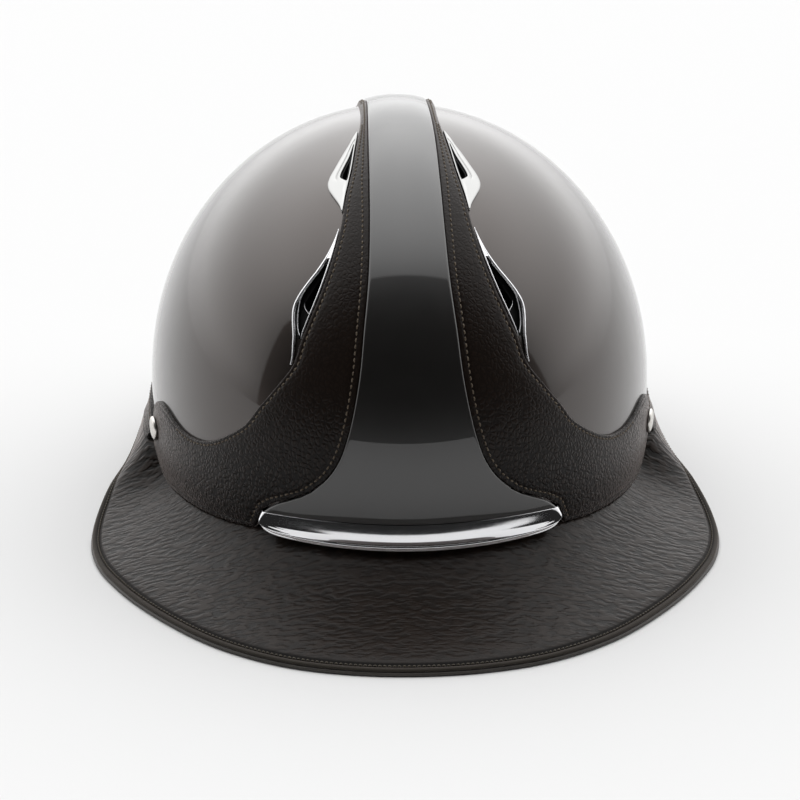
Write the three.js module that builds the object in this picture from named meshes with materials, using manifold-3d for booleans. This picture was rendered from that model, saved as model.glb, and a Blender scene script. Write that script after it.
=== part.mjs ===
// Riding helmet: a lacquered dome with leather panels, metal trim and a wide leather brim.
// Millimetres, +Z up, brim towards -Y. It stands on the front of its brim and the back of its rim.
import * as THREE from "three";
import Module from "manifold-3d";

const wasm = await Module();
wasm.setup();

// Dome: four ellipsoid quarters that meet at the ears and share their widest level
const DOME_HALF_WIDTH = 110;
const DOME_FRONT = 135;
const DOME_BACK = 138;
const DOME_CROWN = 115.5;
const DOME_SKIRT = 150;
const WIDEST_LEVEL = 51;
const WALL = 24; // hard shell and foam, which are one solid

// Fit
const GAP = 0.35; // between neighbours
const SEAT = 0.7; // from the dome to what lies on it, a facet's sag included

// Centre stripe
const STRIPE_HALF_WIDTH = 13;
const STRIPE_FOOT_HALF_WIDTH = 57.8;
const STRIPE_THICKNESS = 3.4;
const STRIPE_BEVEL = 0.9;

// Metal trim at the foot of the stripe
const TRIM_TOP_LEVEL = 37.3;
const TRIM_TOP_END_LEVEL = 34.6;
const TRIM_BOTTOM_LEVEL = 25.6;
const TRIM_END = 1.2; // how far it runs past the foot of the stripe
const TRIM_END_HEIGHT = 0.6;
const TRIM_STAND = 5.6;

// Leather panels
const LEATHER = 1.7;
const FOOT_MARGIN = 2.5; // from the rim up to the leather at the back
const REAR_SWELL = 3.3; // how much thicker the rear panel is where it meets the brim
const JOIN_PLACE = 0.1; // where the front and rear panels meet, behind the crown

// Brim
const BRIM_REACH = 64;
const BRIM_SIDE_RISE = 15;
const BRIM_FLARE = 7;
const BRIM_LEATHER = 1.5;
const BRIM_LINING = 1.6;
const BRIM_LINING_EDGE = 0.8; // how far the lining shows past the leather
const BRIM_SHOULDER = 4.2; // how far it stands off the dome under the rear panel
const BRIM_SHOULDER_TURNS = { from: 70, full: 82, fade: 92 };
const BRIM_END_TURN = 106;

// Rim
const RIM_MARGIN = 2; // how far it shows under the brim
const RIM_LOW_TURN = 68; // from here it keeps its level
const RIM_FALL_TURN = 95; // from here it falls
const RIM_DOWN_TURN = 140; // from here it lies on the ground

// Vents
const VENT_WIDTH = 9.2;
const VENT_FRAME = 1.2;
const VENT_DEPTH = 5;
const VENT_PLATE = 1.2; // thickness of the insert
const VENT_HOLE_INSET = 1.4; // what the insert leaves standing around its hole
const SLOT_TIP = 0.4; // no inset takes more of a narrow slot than this share on each side

// Studs
const STUD_RADIUS = 5.35;
const STUD_HEIGHT = 2.2;
const STUD_TURN = 73.6;
const STUD_RISE = -4.4;

// Half width of the stripe at a place from -1, its front foot, over 0, the crown, to 1, its back foot.
// flare: 0 is the stripe's own half width, 1 that of its front foot.
const STRIPE_ROWS = [
  { place: -1, flare: 1 },
  { place: -0.98, flare: 0.9 },
  { place: -0.966, flare: 0.775 },
  { place: -0.95, flare: 0.625 },
  { place: -0.932, flare: 0.52 },
  { place: -0.905, flare: 0.42 },
  { place: -0.87, flare: 0.335 },
  { place: -0.83, flare: 0.275 },
  { place: -0.79, flare: 0.23 },
  { place: -0.7, flare: 0.158 },
  { place: -0.615, flare: 0.117 },
  { place: -0.5, flare: 0.064 },
  { place: -0.4, flare: 0.042 },
  { place: -0.27, flare: 0.03 },
  { place: -0.13, flare: 0.022 },
  { place: 0, flare: 0.01 },
  { place: 0.12, flare: 0 },
  { place: 0.24, flare: 0.02 },
  { place: 0.36, flare: 0.05 },
  { place: 0.48, flare: 0.09 },
  { place: 0.6, flare: 0.14 },
  { place: 0.71, flare: 0.2 },
  { place: 0.81, flare: 0.28 },
  { place: 0.91, flare: 0.38 },
  { place: 1, flare: 0.5 },
];

// Outer edge of the leather down the front, as a share of the dome's half width
const WINDOW_ROWS = [
  { place: -0.7875, across: 0.558 },
  { place: -0.733, across: 0.4905 },
  { place: -0.68, across: 0.425 },
  { place: -0.628, across: 0.395 },
  { place: -0.584, across: 0.3635 },
  { place: -0.521, across: 0.318 },
  { place: -0.4515, across: 0.277 },
  { place: -0.378, across: 0.244 },
  { place: -0.302, across: 0.221 },
  { place: -0.2205, across: 0.193 },
  { place: -0.147, across: 0.1755 },
  { place: -0.0735, across: 0.16 },
  { place: 0, across: 0.15 },
  { place: 0.12, across: 0.149 },
];

// Lower part of a front panel: its inner edge beside the stripe or along the brim's seam, and its outer edge.
// past: how much of the trim's end it goes round.
const FRONT_LOWER_ROWS = [
  { beside: -0.86, turn: 37.6, rise: 8.6 },
  { beside: -0.93, turn: 41.6, rise: 5.5 },
  { beside: -0.975, past: 0.5, turn: 46.2, rise: 2.7 },
  { beside: -1, past: 1, turn: 50, rise: 1.1 },
  { foot: 35.2, turn: 53.6, rise: 0.4 },
  { foot: 41, turn: 57, rise: 0.2 },
  { foot: 48, turn: 60.4, rise: 0.5 },
  { foot: 55, turn: 63.6, rise: 1.2 },
  { foot: 61.5, turn: 66.6, rise: 1.8 },
  { foot: 67.5, turn: 69.9, rise: 1.7 },
  { foot: 71.5, turn: 72.8, rise: 0.7 },
  { foot: 74, turn: 75.2, rise: -0.9 },
  { foot: 76, turn: 77, rise: -2.8 },
  { foot: 77.6, turn: 78.1, rise: -5 },
  { foot: 78.6, turn: 78.7, rise: -7.2 },
];

// Rear panel, from the crown down beside the stripe and forward along the rim.
// swell: share of the panel's extra thickness at its foot.
const REAR_ROWS = [
  { beside: 0.16, window: 0.16, swell: 0 },
  { beside: 0.22, window: 0.22, swell: 0 },
  { beside: 0.3, turn: 162, rise: 58.5, swell: 0 },
  { beside: 0.4, turn: 156.5, rise: 49.5, swell: 0 },
  { beside: 0.5, turn: 149.5, rise: 41.5, swell: 0 },
  { beside: 0.6, turn: 142.5, rise: 33.8, swell: 0 },
  { beside: 0.7, turn: 136, rise: 26.6, swell: 0 },
  { beside: 0.8, turn: 130, rise: 20, swell: 0 },
  { beside: 0.9, turn: 124.5, rise: 14.2, swell: 0 },
  { beside: 1, turn: 119.5, rise: 9.4, swell: 0 },
  { foot: 152, turn: 114.5, rise: 5.4, swell: 0 },
  { foot: 143, turn: 109.5, rise: 2.2, swell: 0 },
  { foot: 134, turn: 104.5, rise: -0.4, swell: 0 },
  { foot: 125, turn: 100, rise: -2.3, swell: 0 },
  { foot: 116, turn: 96, rise: -3.4, swell: 0 },
  { foot: 108, turn: 92, rise: -3.8, swell: 0.15 },
  { foot: 99.5, turn: 88, rise: -4, swell: 0.65 },
  { foot: 92, turn: 84.6, rise: -4.4, swell: 1 },
  { foot: 85.5, turn: 82, rise: -5.2, swell: 1 },
  { foot: 80.4, turn: 80.2, rise: -6.4, swell: 0.9 },
];

// Seam between the brim and what stands above it
const SEAM_ROWS = [
  { turn: 0, rise: -9.98 },
  { turn: 33, rise: -9.98 },
  { turn: 42, rise: -10.9 },
  { turn: 52, rise: -11.75 },
  { turn: 61, rise: -12.35 },
  { turn: 68, rise: -12.8 },
  { turn: 71.5, rise: -12.6 },
  { turn: 74, rise: -11.8 },
  { turn: 76, rise: -10.65 },
  { turn: 78, rise: -9.4 },
  { turn: 80.5, rise: -8.6 },
  { turn: 86, rise: -8.05 },
  { turn: 95, rise: -7.9 },
  { turn: 106, rise: -8.4 },
];

// Brim edge: reach and rise as shares of the brim's largest
const BRIM_ROWS = [
  { turn: 0, reach: 1, rise: 0 },
  { turn: 8.5, reach: 1, rise: 0 },
  { turn: 17, reach: 0.99, rise: 0 },
  { turn: 27, reach: 0.935, rise: 0 },
  { turn: 38, reach: 0.84, rise: 0 },
  { turn: 50, reach: 0.755, rise: 0 },
  { turn: 56.5, reach: 0.71, rise: 0 },
  { turn: 62.6, reach: 0.638, rise: 0.04 },
  { turn: 67.9, reach: 0.545, rise: 0.147 },
  { turn: 73, reach: 0.444, rise: 0.3 },
  { turn: 78.3, reach: 0.34, rise: 0.467 },
  { turn: 83.7, reach: 0.223, rise: 0.667 },
  { turn: 89.7, reach: 0.152, rise: 0.833 },
  { turn: 97, reach: 0.12, rise: 0.94 },
  { turn: 106, reach: 0.085, rise: 1 },
];

// Vents lie beside the leather's window edge.
// far, slotNear and slotFar are shares of the widest vent; the slot is the black opening.
const UPPER_VENT_ROWS = [
  { place: -0.075, far: 0.06 },
  { place: -0.1, far: 0.2 },
  { place: -0.13, far: 0.35, slotNear: 0.075, slotFar: 0.1 },
  { place: -0.173, far: 0.61, slotNear: 0.075, slotFar: 0.2 },
  { place: -0.205, far: 0.8, slotNear: 0.075, slotFar: 0.36 },
  { place: -0.229, far: 0.94, slotNear: 0.075, slotFar: 0.45 },
  { place: -0.238, far: 0.96, slotNear: 0.075, slotFar: 0.42 },
  { place: -0.25, far: 0.96, slotNear: 0.075, slotFar: 0.14 },
  { place: -0.268, far: 0.84 },
  { place: -0.291, far: 0.55 },
  { place: -0.308, far: 0.32 },
  { place: -0.323, far: 0.14 },
  { place: -0.335, far: 0.05 },
];
const LOWER_VENT_ROWS = [
  { place: -0.378, far: 0.05 },
  { place: -0.403, far: 0.11 },
  { place: -0.43, far: 0.22 },
  { place: -0.452, far: 0.36, slotNear: 0.09, slotFar: 0.24 },
  { place: -0.474, far: 0.54, slotNear: 0.09, slotFar: 0.42 },
  { place: -0.497, far: 0.77, slotNear: 0.09, slotFar: 0.65 },
  { place: -0.52, far: 0.95, slotNear: 0.09, slotFar: 0.83 },
  { place: -0.545, far: 1, slotNear: 0.09, slotFar: 0.88 },
  { place: -0.576, far: 0.8, slotNear: 0.09, slotFar: 0.68 },
  { place: -0.606, far: 0.52, slotNear: 0.09, slotFar: 0.38 },
  { place: -0.62, far: 0.4, slotNear: 0.09, slotFar: 0.2 },
  { place: -0.65, far: 0.23 },
  { place: -0.68, far: 0.11 },
];
const VENT_HOLE = { from: 0.3, to: 0.75 }; // the stretch of the lower slot that is open to the inside

// Facets
const SHELL_SIDES = 50;
const SHELL_RINGS = 15;
const LINING_RINGS = 7;
const BRIM_STRETCHES = [
  { to: 65, steps: 8 },
  { to: 84, steps: 9 }, // where it climbs the side
  { to: BRIM_END_TURN, steps: 4 },
];
const BRIM_OUTS = [-1, 0, 0.12, 0.3, 0.6, 1]; // -1 on the dome, 0 at the shoulder, 1 at the edge
const STRIPE_STEP = 0.085; // between rows of the stripe, as a share of the way from crown to foot

const LEATHER_TOP = SEAT + LEATHER;
const STRIPE_TOP = SEAT + STRIPE_THICKNESS;
const BRIM_HEIGHT = BRIM_LEATHER + GAP + BRIM_LINING;
const radians = THREE.MathUtils.degToRad;
const toDegrees = THREE.MathUtils.radToDeg;
const { lerp, smoothstep } = THREE.MathUtils;

// The smooth function through one column of a table.
function column(rows, from, to) {
  const sorted = [...rows].sort((a, b) => a[from] - b[from]);
  const curve = new THREE.CubicInterpolant(sorted.map((r) => r[from]), sorted.map((r) => r[to]), 1);
  return (place) => curve.evaluate(place)[0];
}

const stripeFlare = column(STRIPE_ROWS, "place", "flare");
const windowAcross = column(WINDOW_ROWS, "place", "across");
const seamRise = column(SEAM_ROWS, "turn", "rise");
const brimReach = column(BRIM_ROWS, "turn", "reach");
const brimRise = column(BRIM_ROWS, "turn", "rise");

// A direction that lies a share of the half width to the side, tilted back from the front.
function over(across, tilt) {
  const middle = Math.sqrt(1 - across * across);
  const angle = radians(tilt);
  return new THREE.Vector3(across, -middle * Math.cos(angle), middle * Math.sin(angle));
}

// A direction turned from the front and raised from the widest level.
function around(turn, rise) {
  const level = Math.cos(radians(rise));
  const angle = radians(turn);
  return new THREE.Vector3(level * Math.sin(angle), -level * Math.cos(angle), Math.sin(radians(rise)));
}

function axesAt(direction) {
  return new THREE.Vector3(
    DOME_HALF_WIDTH,
    direction.y < 0 ? DOME_FRONT : DOME_BACK,
    direction.z < 0 ? DOME_SKIRT : DOME_CROWN,
  );
}

// The outward normal of the dome in a direction.
function domeNormal(direction) {
  return direction.clone().divide(axesAt(direction)).normalize();
}

// The point in a direction that stands a lift off the dome.
function onDome(direction, lift = 0) {
  const point = direction.clone().normalize().multiply(axesAt(direction));
  point.z += WIDEST_LEVEL;
  return point.addScaledVector(domeNormal(direction), lift);
}

// The direction at a turn where the surface that stands a lift off the dome reaches a level.
function atLevel(turn, level, lift = 0) {
  let [low, high] = [-60, 60];
  for (let step = 0; step < 40; step++) {
    const middle = (low + high) / 2;
    if (onDome(around(turn, middle), lift).z < level) low = middle;
    else high = middle;
  }
  return around(turn, (low + high) / 2);
}

// The tilt at which the dome comes down to a level in front, a share of the half width to the side.
function tiltAtLevel(across, level) {
  const height = level < WIDEST_LEVEL ? DOME_SKIRT : DOME_CROWN;
  return toDegrees(Math.asin((level - WIDEST_LEVEL) / (height * Math.sqrt(1 - across * across))));
}

// Level of the seam and of the rim around one half of the dome
function seamLevel(turn) {
  return onDome(around(turn, seamRise(Math.min(turn, BRIM_END_TURN)))).z;
}

function rimLevel(turn) {
  const brimRoot = seamLevel(Math.min(turn, RIM_LOW_TURN)) - BRIM_HEIGHT - GAP;
  return (brimRoot - RIM_MARGIN) * (1 - smoothstep(turn, RIM_FALL_TURN, RIM_DOWN_TURN));
}

// The foot of the leather: on the seam as far as the brim goes, then above the rim.
function footDirection(turn) {
  const behind = smoothstep(turn, BRIM_END_TURN, RIM_DOWN_TURN);
  return atLevel(turn, lerp(seamLevel(turn), rimLevel(turn) + FOOT_MARGIN, behind));
}

// The trim's top edge sinks towards its ends.
function trimTopLevel(side) {
  return lerp(TRIM_TOP_LEVEL, TRIM_TOP_END_LEVEL, Math.abs(side) ** 3);
}

// The tilt at which the stripe ends, in front on the trim and behind above the rim
function stripeEndTilt(across, side, isFront) {
  return isFront ? tiltAtLevel(across, trimTopLevel(side)) : 180 - tiltAtLevel(across, FOOT_MARGIN);
}

function stripeHalfWidth(place) {
  return lerp(STRIPE_HALF_WIDTH, STRIPE_FOOT_HALF_WIDTH, stripeFlare(place));
}

// side: -1 at the left edge of the stripe, 0 in its middle, 1 at its right edge; out: how far past that edge.
function stripeDirection(place, side, out = 0) {
  const across = (side * stripeHalfWidth(place) + Math.sign(side) * out) / DOME_HALF_WIDTH;
  const end = stripeEndTilt(across, side, place < 0);
  return over(across, lerp(90, end, Math.abs(place)));
}

function windowDirection(place, out = 0) {
  const end = place < 0 ? tiltAtLevel(0, TRIM_TOP_LEVEL) : 180 - tiltAtLevel(0, FOOT_MARGIN);
  return over(windowAcross(place) + out / DOME_HALF_WIDTH, lerp(90, end, Math.abs(place)));
}

function mirrored(direction) {
  return new THREE.Vector3(-direction.x, direction.y, direction.z);
}

// An indexed geometry with its faces turned outwards.
function closedGeometry(points, triangles) {
  let volume = 0;
  for (let i = 0; i < triangles.length; i += 3) {
    const [a, b, c] = [0, 1, 2].map((k) => points[triangles[i + k]]);
    volume += a.dot(b.clone().cross(c));
  }
  const faces = volume < 0 ? triangles.slice().reverse() : triangles;
  const geometry = new THREE.BufferGeometry().setFromPoints(points);
  geometry.setIndex(faces);
  geometry.computeVertexNormals();
  return geometry;
}

// A closed block between two grids of points, joined by walls along their four edges.
function blockGeometry(outer, inner) {
  const rows = outer.length;
  const columns = outer[0].length;
  const at = (side, row, col) => (side * rows + row) * columns + col;
  const triangles = [];
  const quad = (a, b, c, d) => triangles.push(a, b, c, a, c, d);
  for (let row = 0; row + 1 < rows; row++) {
    for (let col = 0; col + 1 < columns; col++) {
      quad(at(0, row, col), at(0, row + 1, col), at(0, row + 1, col + 1), at(0, row, col + 1));
      quad(at(1, row, col), at(1, row, col + 1), at(1, row + 1, col + 1), at(1, row + 1, col));
    }
    const last = columns - 1;
    quad(at(0, row, 0), at(1, row, 0), at(1, row + 1, 0), at(0, row + 1, 0));
    quad(at(0, row, last), at(0, row + 1, last), at(1, row + 1, last), at(1, row, last));
  }
  for (let col = 0; col + 1 < columns; col++) {
    const last = rows - 1;
    quad(at(0, 0, col), at(0, 0, col + 1), at(1, 0, col + 1), at(1, 0, col));
    quad(at(0, last, col), at(1, last, col), at(1, last, col + 1), at(0, last, col + 1));
  }
  return closedGeometry([...outer.flat(), ...inner.flat()], triangles);
}

// A solid that lies on the dome: a grid of directions between two lifts, each a number or a function.
function drapedGeometry(grid, low, high) {
  const lift = (value, row, col) => (typeof value === "function" ? value(row, col) : value);
  const surface = (value) => grid.map((line, r) => line.map((d, c) => onDome(d, lift(value, r, c))));
  return blockGeometry(surface(high), surface(low));
}

// A grid of directions between two edges of the dome's surface.
function between(edgeA, edgeB, columns) {
  return edgeA.map((a, row) => {
    const b = edgeB[row];
    return Array.from({ length: columns + 1 }, (_, k) => a.clone().lerp(b, k / columns).normalize());
  });
}

function solidOf(geometry) {
  const vertProperties = new Float32Array(geometry.attributes.position.array);
  const triVerts = new Uint32Array(geometry.index.array);
  return new wasm.Manifold(new wasm.Mesh({ numProp: 3, vertProperties, triVerts }));
}

function geometryOf(solid) {
  const mesh = solid.getMesh();
  const geometry = new THREE.BufferGeometry();
  const position = new Float32Array(mesh.numVert * 3);
  for (let i = 0; i < mesh.numVert; i++) {
    position.set(mesh.vertProperties.subarray(i * mesh.numProp, i * mesh.numProp + 3), i * 3);
  }
  geometry.setAttribute("position", new THREE.BufferAttribute(position, 3));
  geometry.setIndex(new THREE.BufferAttribute(new Uint32Array(mesh.triVerts), 1));
  geometry.computeVertexNormals();
  return geometry;
}

// Vents

// The directions between two widths beside the window edge, for the rows of a vent.
function ventGrid(rows, near, far, isLeft) {
  const edge = (out) => rows.map((row) => windowDirection(row.place, out(row)));
  const grid = between(edge(near), edge(far), 1);
  return isLeft ? grid.map((line) => line.map(mirrored)) : grid;
}

function slotRows(rows) {
  return rows.filter((row) => row.slotFar !== undefined);
}

// The slot made smaller on every side, where a wall or a gap stands inside it.
function slotGrid(rows, inset, isLeft) {
  const slot = slotRows(rows);
  const width = (row) => (row.slotFar - row.slotNear) * VENT_WIDTH;
  const margin = (row) => Math.min(inset, SLOT_TIP * width(row));
  const near = (row) => GAP + row.slotNear * VENT_WIDTH + margin(row);
  const far = (row) => GAP + row.slotFar * VENT_WIDTH - margin(row);
  return ventGrid(slot, near, far, isLeft);
}

function ventFrame(rows, isLeft) {
  const leaf = ventGrid(rows, () => GAP, (row) => GAP + row.far * VENT_WIDTH, isLeft);
  const slot = slotGrid(rows, 0, isLeft);
  const body = solidOf(drapedGeometry(leaf, SEAT, SEAT + VENT_FRAME));
  const opening = solidOf(drapedGeometry(slot, -SEAT, SEAT + 2 * VENT_FRAME));
  return geometryOf(body.subtract(opening));
}

// The part of a slot that goes through the wall.
function holeSolid(rows, low, isLeft) {
  const grid = slotGrid(rows, VENT_HOLE_INSET, isLeft);
  const last = grid.length - 1;
  const stretch = grid.slice(Math.round(last * VENT_HOLE.from), Math.round(last * VENT_HOLE.to) + 1);
  return solidOf(drapedGeometry(stretch, low, SEAT));
}

// What a vent takes out of the shell: a pocket for its insert and, where it is open, a hole through the wall.
function ventCut(rows, isOpen, isLeft) {
  const pocket = solidOf(drapedGeometry(slotGrid(rows, 0, isLeft), -VENT_DEPTH, 2 * SEAT));
  return isOpen ? pocket.add(holeSolid(rows, -WALL - 4 * SEAT, isLeft)) : pocket;
}

// The plate at the bottom of the pocket, with the same hole.
function ventInsert(rows, isOpen, isLeft) {
  const bottom = GAP - VENT_DEPTH;
  const plate = drapedGeometry(slotGrid(rows, GAP, isLeft), bottom, bottom + VENT_PLATE);
  if (!isOpen) return plate;
  return geometryOf(solidOf(plate).subtract(holeSolid(rows, bottom - VENT_PLATE, isLeft)));
}

// Shell

// A ring of the shell at a share of the way from its rim up to its pole.
function shellRing(share, lift) {
  return Array.from({ length: SHELL_SIDES }, (_, side) => {
    const angle = (360 * side) / SHELL_SIDES;
    const turn = Math.min(angle, 360 - angle);
    const foot = atLevel(turn, rimLevel(turn), lift);
    const rise = lerp(toDegrees(Math.asin(foot.z)), 90, share);
    return onDome(around(angle, rise), lift);
  });
}

// A closed surface through rings of points, with a single point at each end.
function ringGeometry(rings) {
  const sides = rings[1].length;
  const points = rings.flat();
  const start = (ring) => (ring === 0 ? 0 : 1 + (ring - 1) * sides);
  const triangles = [];
  for (let side = 0; side < sides; side++) {
    const next = (side + 1) % sides;
    triangles.push(0, start(1) + side, start(1) + next);
    for (let ring = 1; ring + 2 < rings.length; ring++) {
      const [a, b] = [start(ring), start(ring + 1)];
      triangles.push(a + side, b + side, b + next, a + side, b + next, a + next);
    }
    const end = start(rings.length - 2);
    triangles.push(points.length - 1, end + next, end + side);
  }
  return closedGeometry(points, triangles);
}

function shellGeometry() {
  const pole = around(0, 90);
  const rings = [[onDome(pole)]];
  for (let ring = SHELL_RINGS - 1; ring >= 0; ring--) {
    rings.push(shellRing(ring / SHELL_RINGS, 0));
  }
  for (let ring = 0; ring < LINING_RINGS; ring++) {
    rings.push(shellRing(ring / LINING_RINGS, -WALL));
  }
  rings.push([onDome(pole, -WALL)]);
  let shell = solidOf(ringGeometry(rings));
  for (const isLeft of [true, false]) {
    shell = shell.subtract(ventCut(UPPER_VENT_ROWS, false, isLeft));
    shell = shell.subtract(ventCut(LOWER_VENT_ROWS, true, isLeft));
  }
  return geometryOf(shell);
}

// Stripe and trim

// The places of a table with others between them, no further apart than a step.
function filledPlaces(rows, step) {
  const places = rows.map((row) => row.place);
  const stretch = (from, to) => {
    const count = Math.ceil((to - from) / step);
    return Array.from({ length: count }, (_, k) => lerp(from, to, k / count));
  };
  return [...places.slice(1).flatMap((to, k) => stretch(places[k], to)), places.at(-1)];
}

function stripeGeometry() {
  const thirds = [-1, -2 / 3, -1 / 3, 0, 1 / 3, 2 / 3, 1];
  const grid = filledPlaces(STRIPE_ROWS, STRIPE_STEP).map((place) => {
    const flat = 1 - STRIPE_BEVEL / stripeHalfWidth(place);
    return [-1, ...thirds.map((side) => side * flat), 1].map((side) => stripeDirection(place, side));
  });
  const isEdge = (col) => col === 0 || col === thirds.length + 1;
  return drapedGeometry(grid, SEAT, (_, col) => (isEdge(col) ? STRIPE_TOP - STRIPE_BEVEL : STRIPE_TOP));
}

// The trim's face: flush with the stripe at its top, it leans out to a roll, with a flange below.
const TRIM_FACE = [
  { down: 0, stand: 0.74 },
  { down: 0.05, stand: 0.77 },
  { down: 0.48, stand: 1.08 },
  { down: 0.6, stand: 1.14 },
  { down: 0.7, stand: 1.14 },
  { down: 0.77, stand: 0.93 },
  { down: 0.86, stand: 0.95 },
  { down: 1, stand: 0.85 },
];

// side: -1 at its left end, 1 at its right end.
function trimDirection(side, down) {
  const half = STRIPE_FOOT_HALF_WIDTH + TRIM_END;
  const across = (side * half) / DOME_HALF_WIDTH;
  const top = trimTopLevel(side) - GAP;
  const round = Math.sqrt(1 - Math.abs(side) ** 5);
  const height = lerp(TRIM_END_HEIGHT, top - TRIM_BOTTOM_LEVEL, round);
  return over(across, tiltAtLevel(across, top - height * down));
}

function trimGeometry() {
  const sides = [-1, -0.985, -0.94, -0.86, -0.72, -0.54, -0.36, -0.18, 0];
  const all = [...sides, ...sides.slice(0, -1).reverse().map((side) => -side)];
  const grid = all.map((side) => TRIM_FACE.map((row) => trimDirection(side, row.down)));
  const taper = (side) => lerp(1, 0.6, Math.abs(side) ** 12);
  return drapedGeometry(grid, SEAT, (row, col) => TRIM_STAND * TRIM_FACE[col].stand * taper(all[row]));
}

// Leather panels

function innerDirection(row) {
  if (row.foot !== undefined) return footDirection(row.foot);
  return stripeDirection(row.beside, 1, GAP + TRIM_END * (row.past ?? 0));
}

function outerDirection(row) {
  return row.window === undefined ? around(row.turn, row.rise) : windowDirection(row.window);
}

// Rows with others between them; the inner edge keeps to the stripe or the seam, the outer edge is smooth.
function filledRows(rows, steps) {
  const outline = new THREE.CatmullRomCurve3(rows.map(outerDirection), false, "centripetal");
  const count = (rows.length - 1) * steps;
  return Array.from({ length: count + 1 }, (_, k) => {
    const [from, share] = [Math.min(Math.floor(k / steps), rows.length - 2), (k % steps) / steps];
    const [a, b] = k === count ? [rows.at(-1), rows.at(-1)] : [rows[from], rows[from + 1]];
    const isCorner = (a.foot === undefined) !== (b.foot === undefined);
    const mix = (name) => lerp(a[name] ?? 0, b[name] ?? 0, share);
    const edge = a.foot === undefined ? { beside: mix("beside"), past: mix("past") } : { foot: mix("foot") };
    const inner = isCorner ? innerDirection(a).lerp(innerDirection(b), share) : innerDirection(edge);
    return { inner, outer: outline.getPoint(k / count).normalize(), swell: mix("swell") };
  });
}

function panelGeometry(rows, steps, columns, isLeft) {
  const filled = filledRows(rows, steps);
  const grid = between(filled.map((row) => row.inner), filled.map((row) => row.outer), columns);
  const thickness = (row, col) => LEATHER_TOP + REAR_SWELL * filled[row].swell * (1 - col / columns) ** 1.5;
  return drapedGeometry(isLeft ? grid.map((line) => line.map(mirrored)) : grid, SEAT, thickness);
}

function frontPanel(isLeft) {
  const places = [JOIN_PLACE, ...WINDOW_ROWS.map((row) => row.place).filter((place) => place <= 0).reverse()];
  const upper = places.map((place) => ({ beside: place, window: place }));
  return panelGeometry([...upper, ...FRONT_LOWER_ROWS], 1, 4, isLeft);
}

function rearPanel(isLeft) {
  const start = JOIN_PLACE + GAP / (DOME_BACK * radians(90));
  return panelGeometry([{ beside: start, window: start, swell: 0 }, ...REAR_ROWS], 2, 5, isLeft);
}

// Brim

// How far the brim stands straight out from the dome before it flares
function shoulder(turn) {
  const { from, full, fade } = BRIM_SHOULDER_TURNS;
  return SEAT + BRIM_SHOULDER * smoothstep(turn, from, full) * (1 - smoothstep(turn, fade, BRIM_END_TURN));
}

// A point of a brim layer, drop below the seam; out runs from 0 at the shoulder to 1 at the layer's edge.
function brimPoint(turn, out, drop, inset) {
  const half = Math.abs(turn);
  const direction = atLevel(half, seamLevel(half) - GAP - drop, SEAT);
  const root = onDome(direction, SEAT + (out < 0 ? 0 : shoulder(half)));
  const reach = BRIM_REACH * brimReach(half);
  const length = half < 90 ? DOME_FRONT : DOME_BACK;
  const edge = new THREE.Vector3(
    (DOME_HALF_WIDTH + reach) * Math.sin(radians(half)),
    -(length + reach) * Math.cos(radians(half)),
    BRIM_SIDE_RISE * brimRise(half) + BRIM_HEIGHT - drop,
  );
  const way = Math.max(out, 0) * (1 - inset / reach);
  const point = root.lerp(edge, way);
  point.z -= BRIM_FLARE * brimReach(half) * (1 - way - (1 - way) ** 4);
  if (turn < 0) point.x *= -1;
  return point;
}

// The brim's turns from one end round the front to the other
function brimTurns() {
  const half = [0];
  for (const { to, steps } of BRIM_STRETCHES) {
    const from = half.at(-1);
    for (let step = 1; step <= steps; step++) half.push(lerp(from, to, step / steps));
  }
  return [...half.slice(1).reverse().map((turn) => -turn), ...half];
}

function brimGeometry(drop, thickness, inset) {
  const line = (turn, depth) => BRIM_OUTS.map((out) => brimPoint(turn, out, depth, inset));
  const layer = (depth) => brimTurns().map((turn) => line(turn, depth));
  return blockGeometry(layer(drop), layer(drop + thickness));
}

// Studs

function studMesh(name, isLeft) {
  const profile = [
    [0, 0],
    [STUD_RADIUS, 0],
    [STUD_RADIUS, 0.35 * STUD_HEIGHT],
    [0.86 * STUD_RADIUS, 0.7 * STUD_HEIGHT],
    [0.5 * STUD_RADIUS, 0.93 * STUD_HEIGHT],
    [0, STUD_HEIGHT],
  ];
  const geometry = new THREE.LatheGeometry(profile.map(([r, h]) => new THREE.Vector2(r, h)), 16);
  const stud = new THREE.Mesh(geometry, STUD_FINISH);
  const direction = around(STUD_TURN, STUD_RISE);
  const side = isLeft ? mirrored(direction) : direction;
  stud.name = name;
  stud.position.copy(onDome(side, LEATHER_TOP + GAP));
  stud.quaternion.setFromUnitVectors(new THREE.Vector3(0, 1, 0), domeNormal(side));
  return stud;
}

// Finishes
function finish(color, roughness, metalness) {
  return new THREE.MeshStandardMaterial({ color, roughness, metalness });
}

const LACQUER = finish("#6f6a69", 0.12, 0);
const STRIPE_LACQUER = finish("#4a4646", 0.1, 0);
const PANEL_LEATHER = finish("#2b2523", 0.6, 0);
const BRIM_HIDE = finish("#37302d", 0.6, 0);
const LINING_FINISH = finish("#2a2624", 0.7, 0);
const CHROME = finish("#d9dadd", 0.08, 1);
const VENT_PLASTIC = finish("#0c0c0e", 0.25, 0);
const STUD_FINISH = finish("#e4e2df", 0.2, 0.8);

// The dome's middle lies behind the origin, because the brim reaches further out than the nape.
const helmet = new THREE.Group();
helmet.position.y = (DOME_FRONT + BRIM_REACH - DOME_BACK - STRIPE_TOP) / 2;

function addPiece(name, geometry, material) {
  const mesh = new THREE.Mesh(geometry, material);
  mesh.name = name;
  helmet.add(mesh);
}

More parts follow.
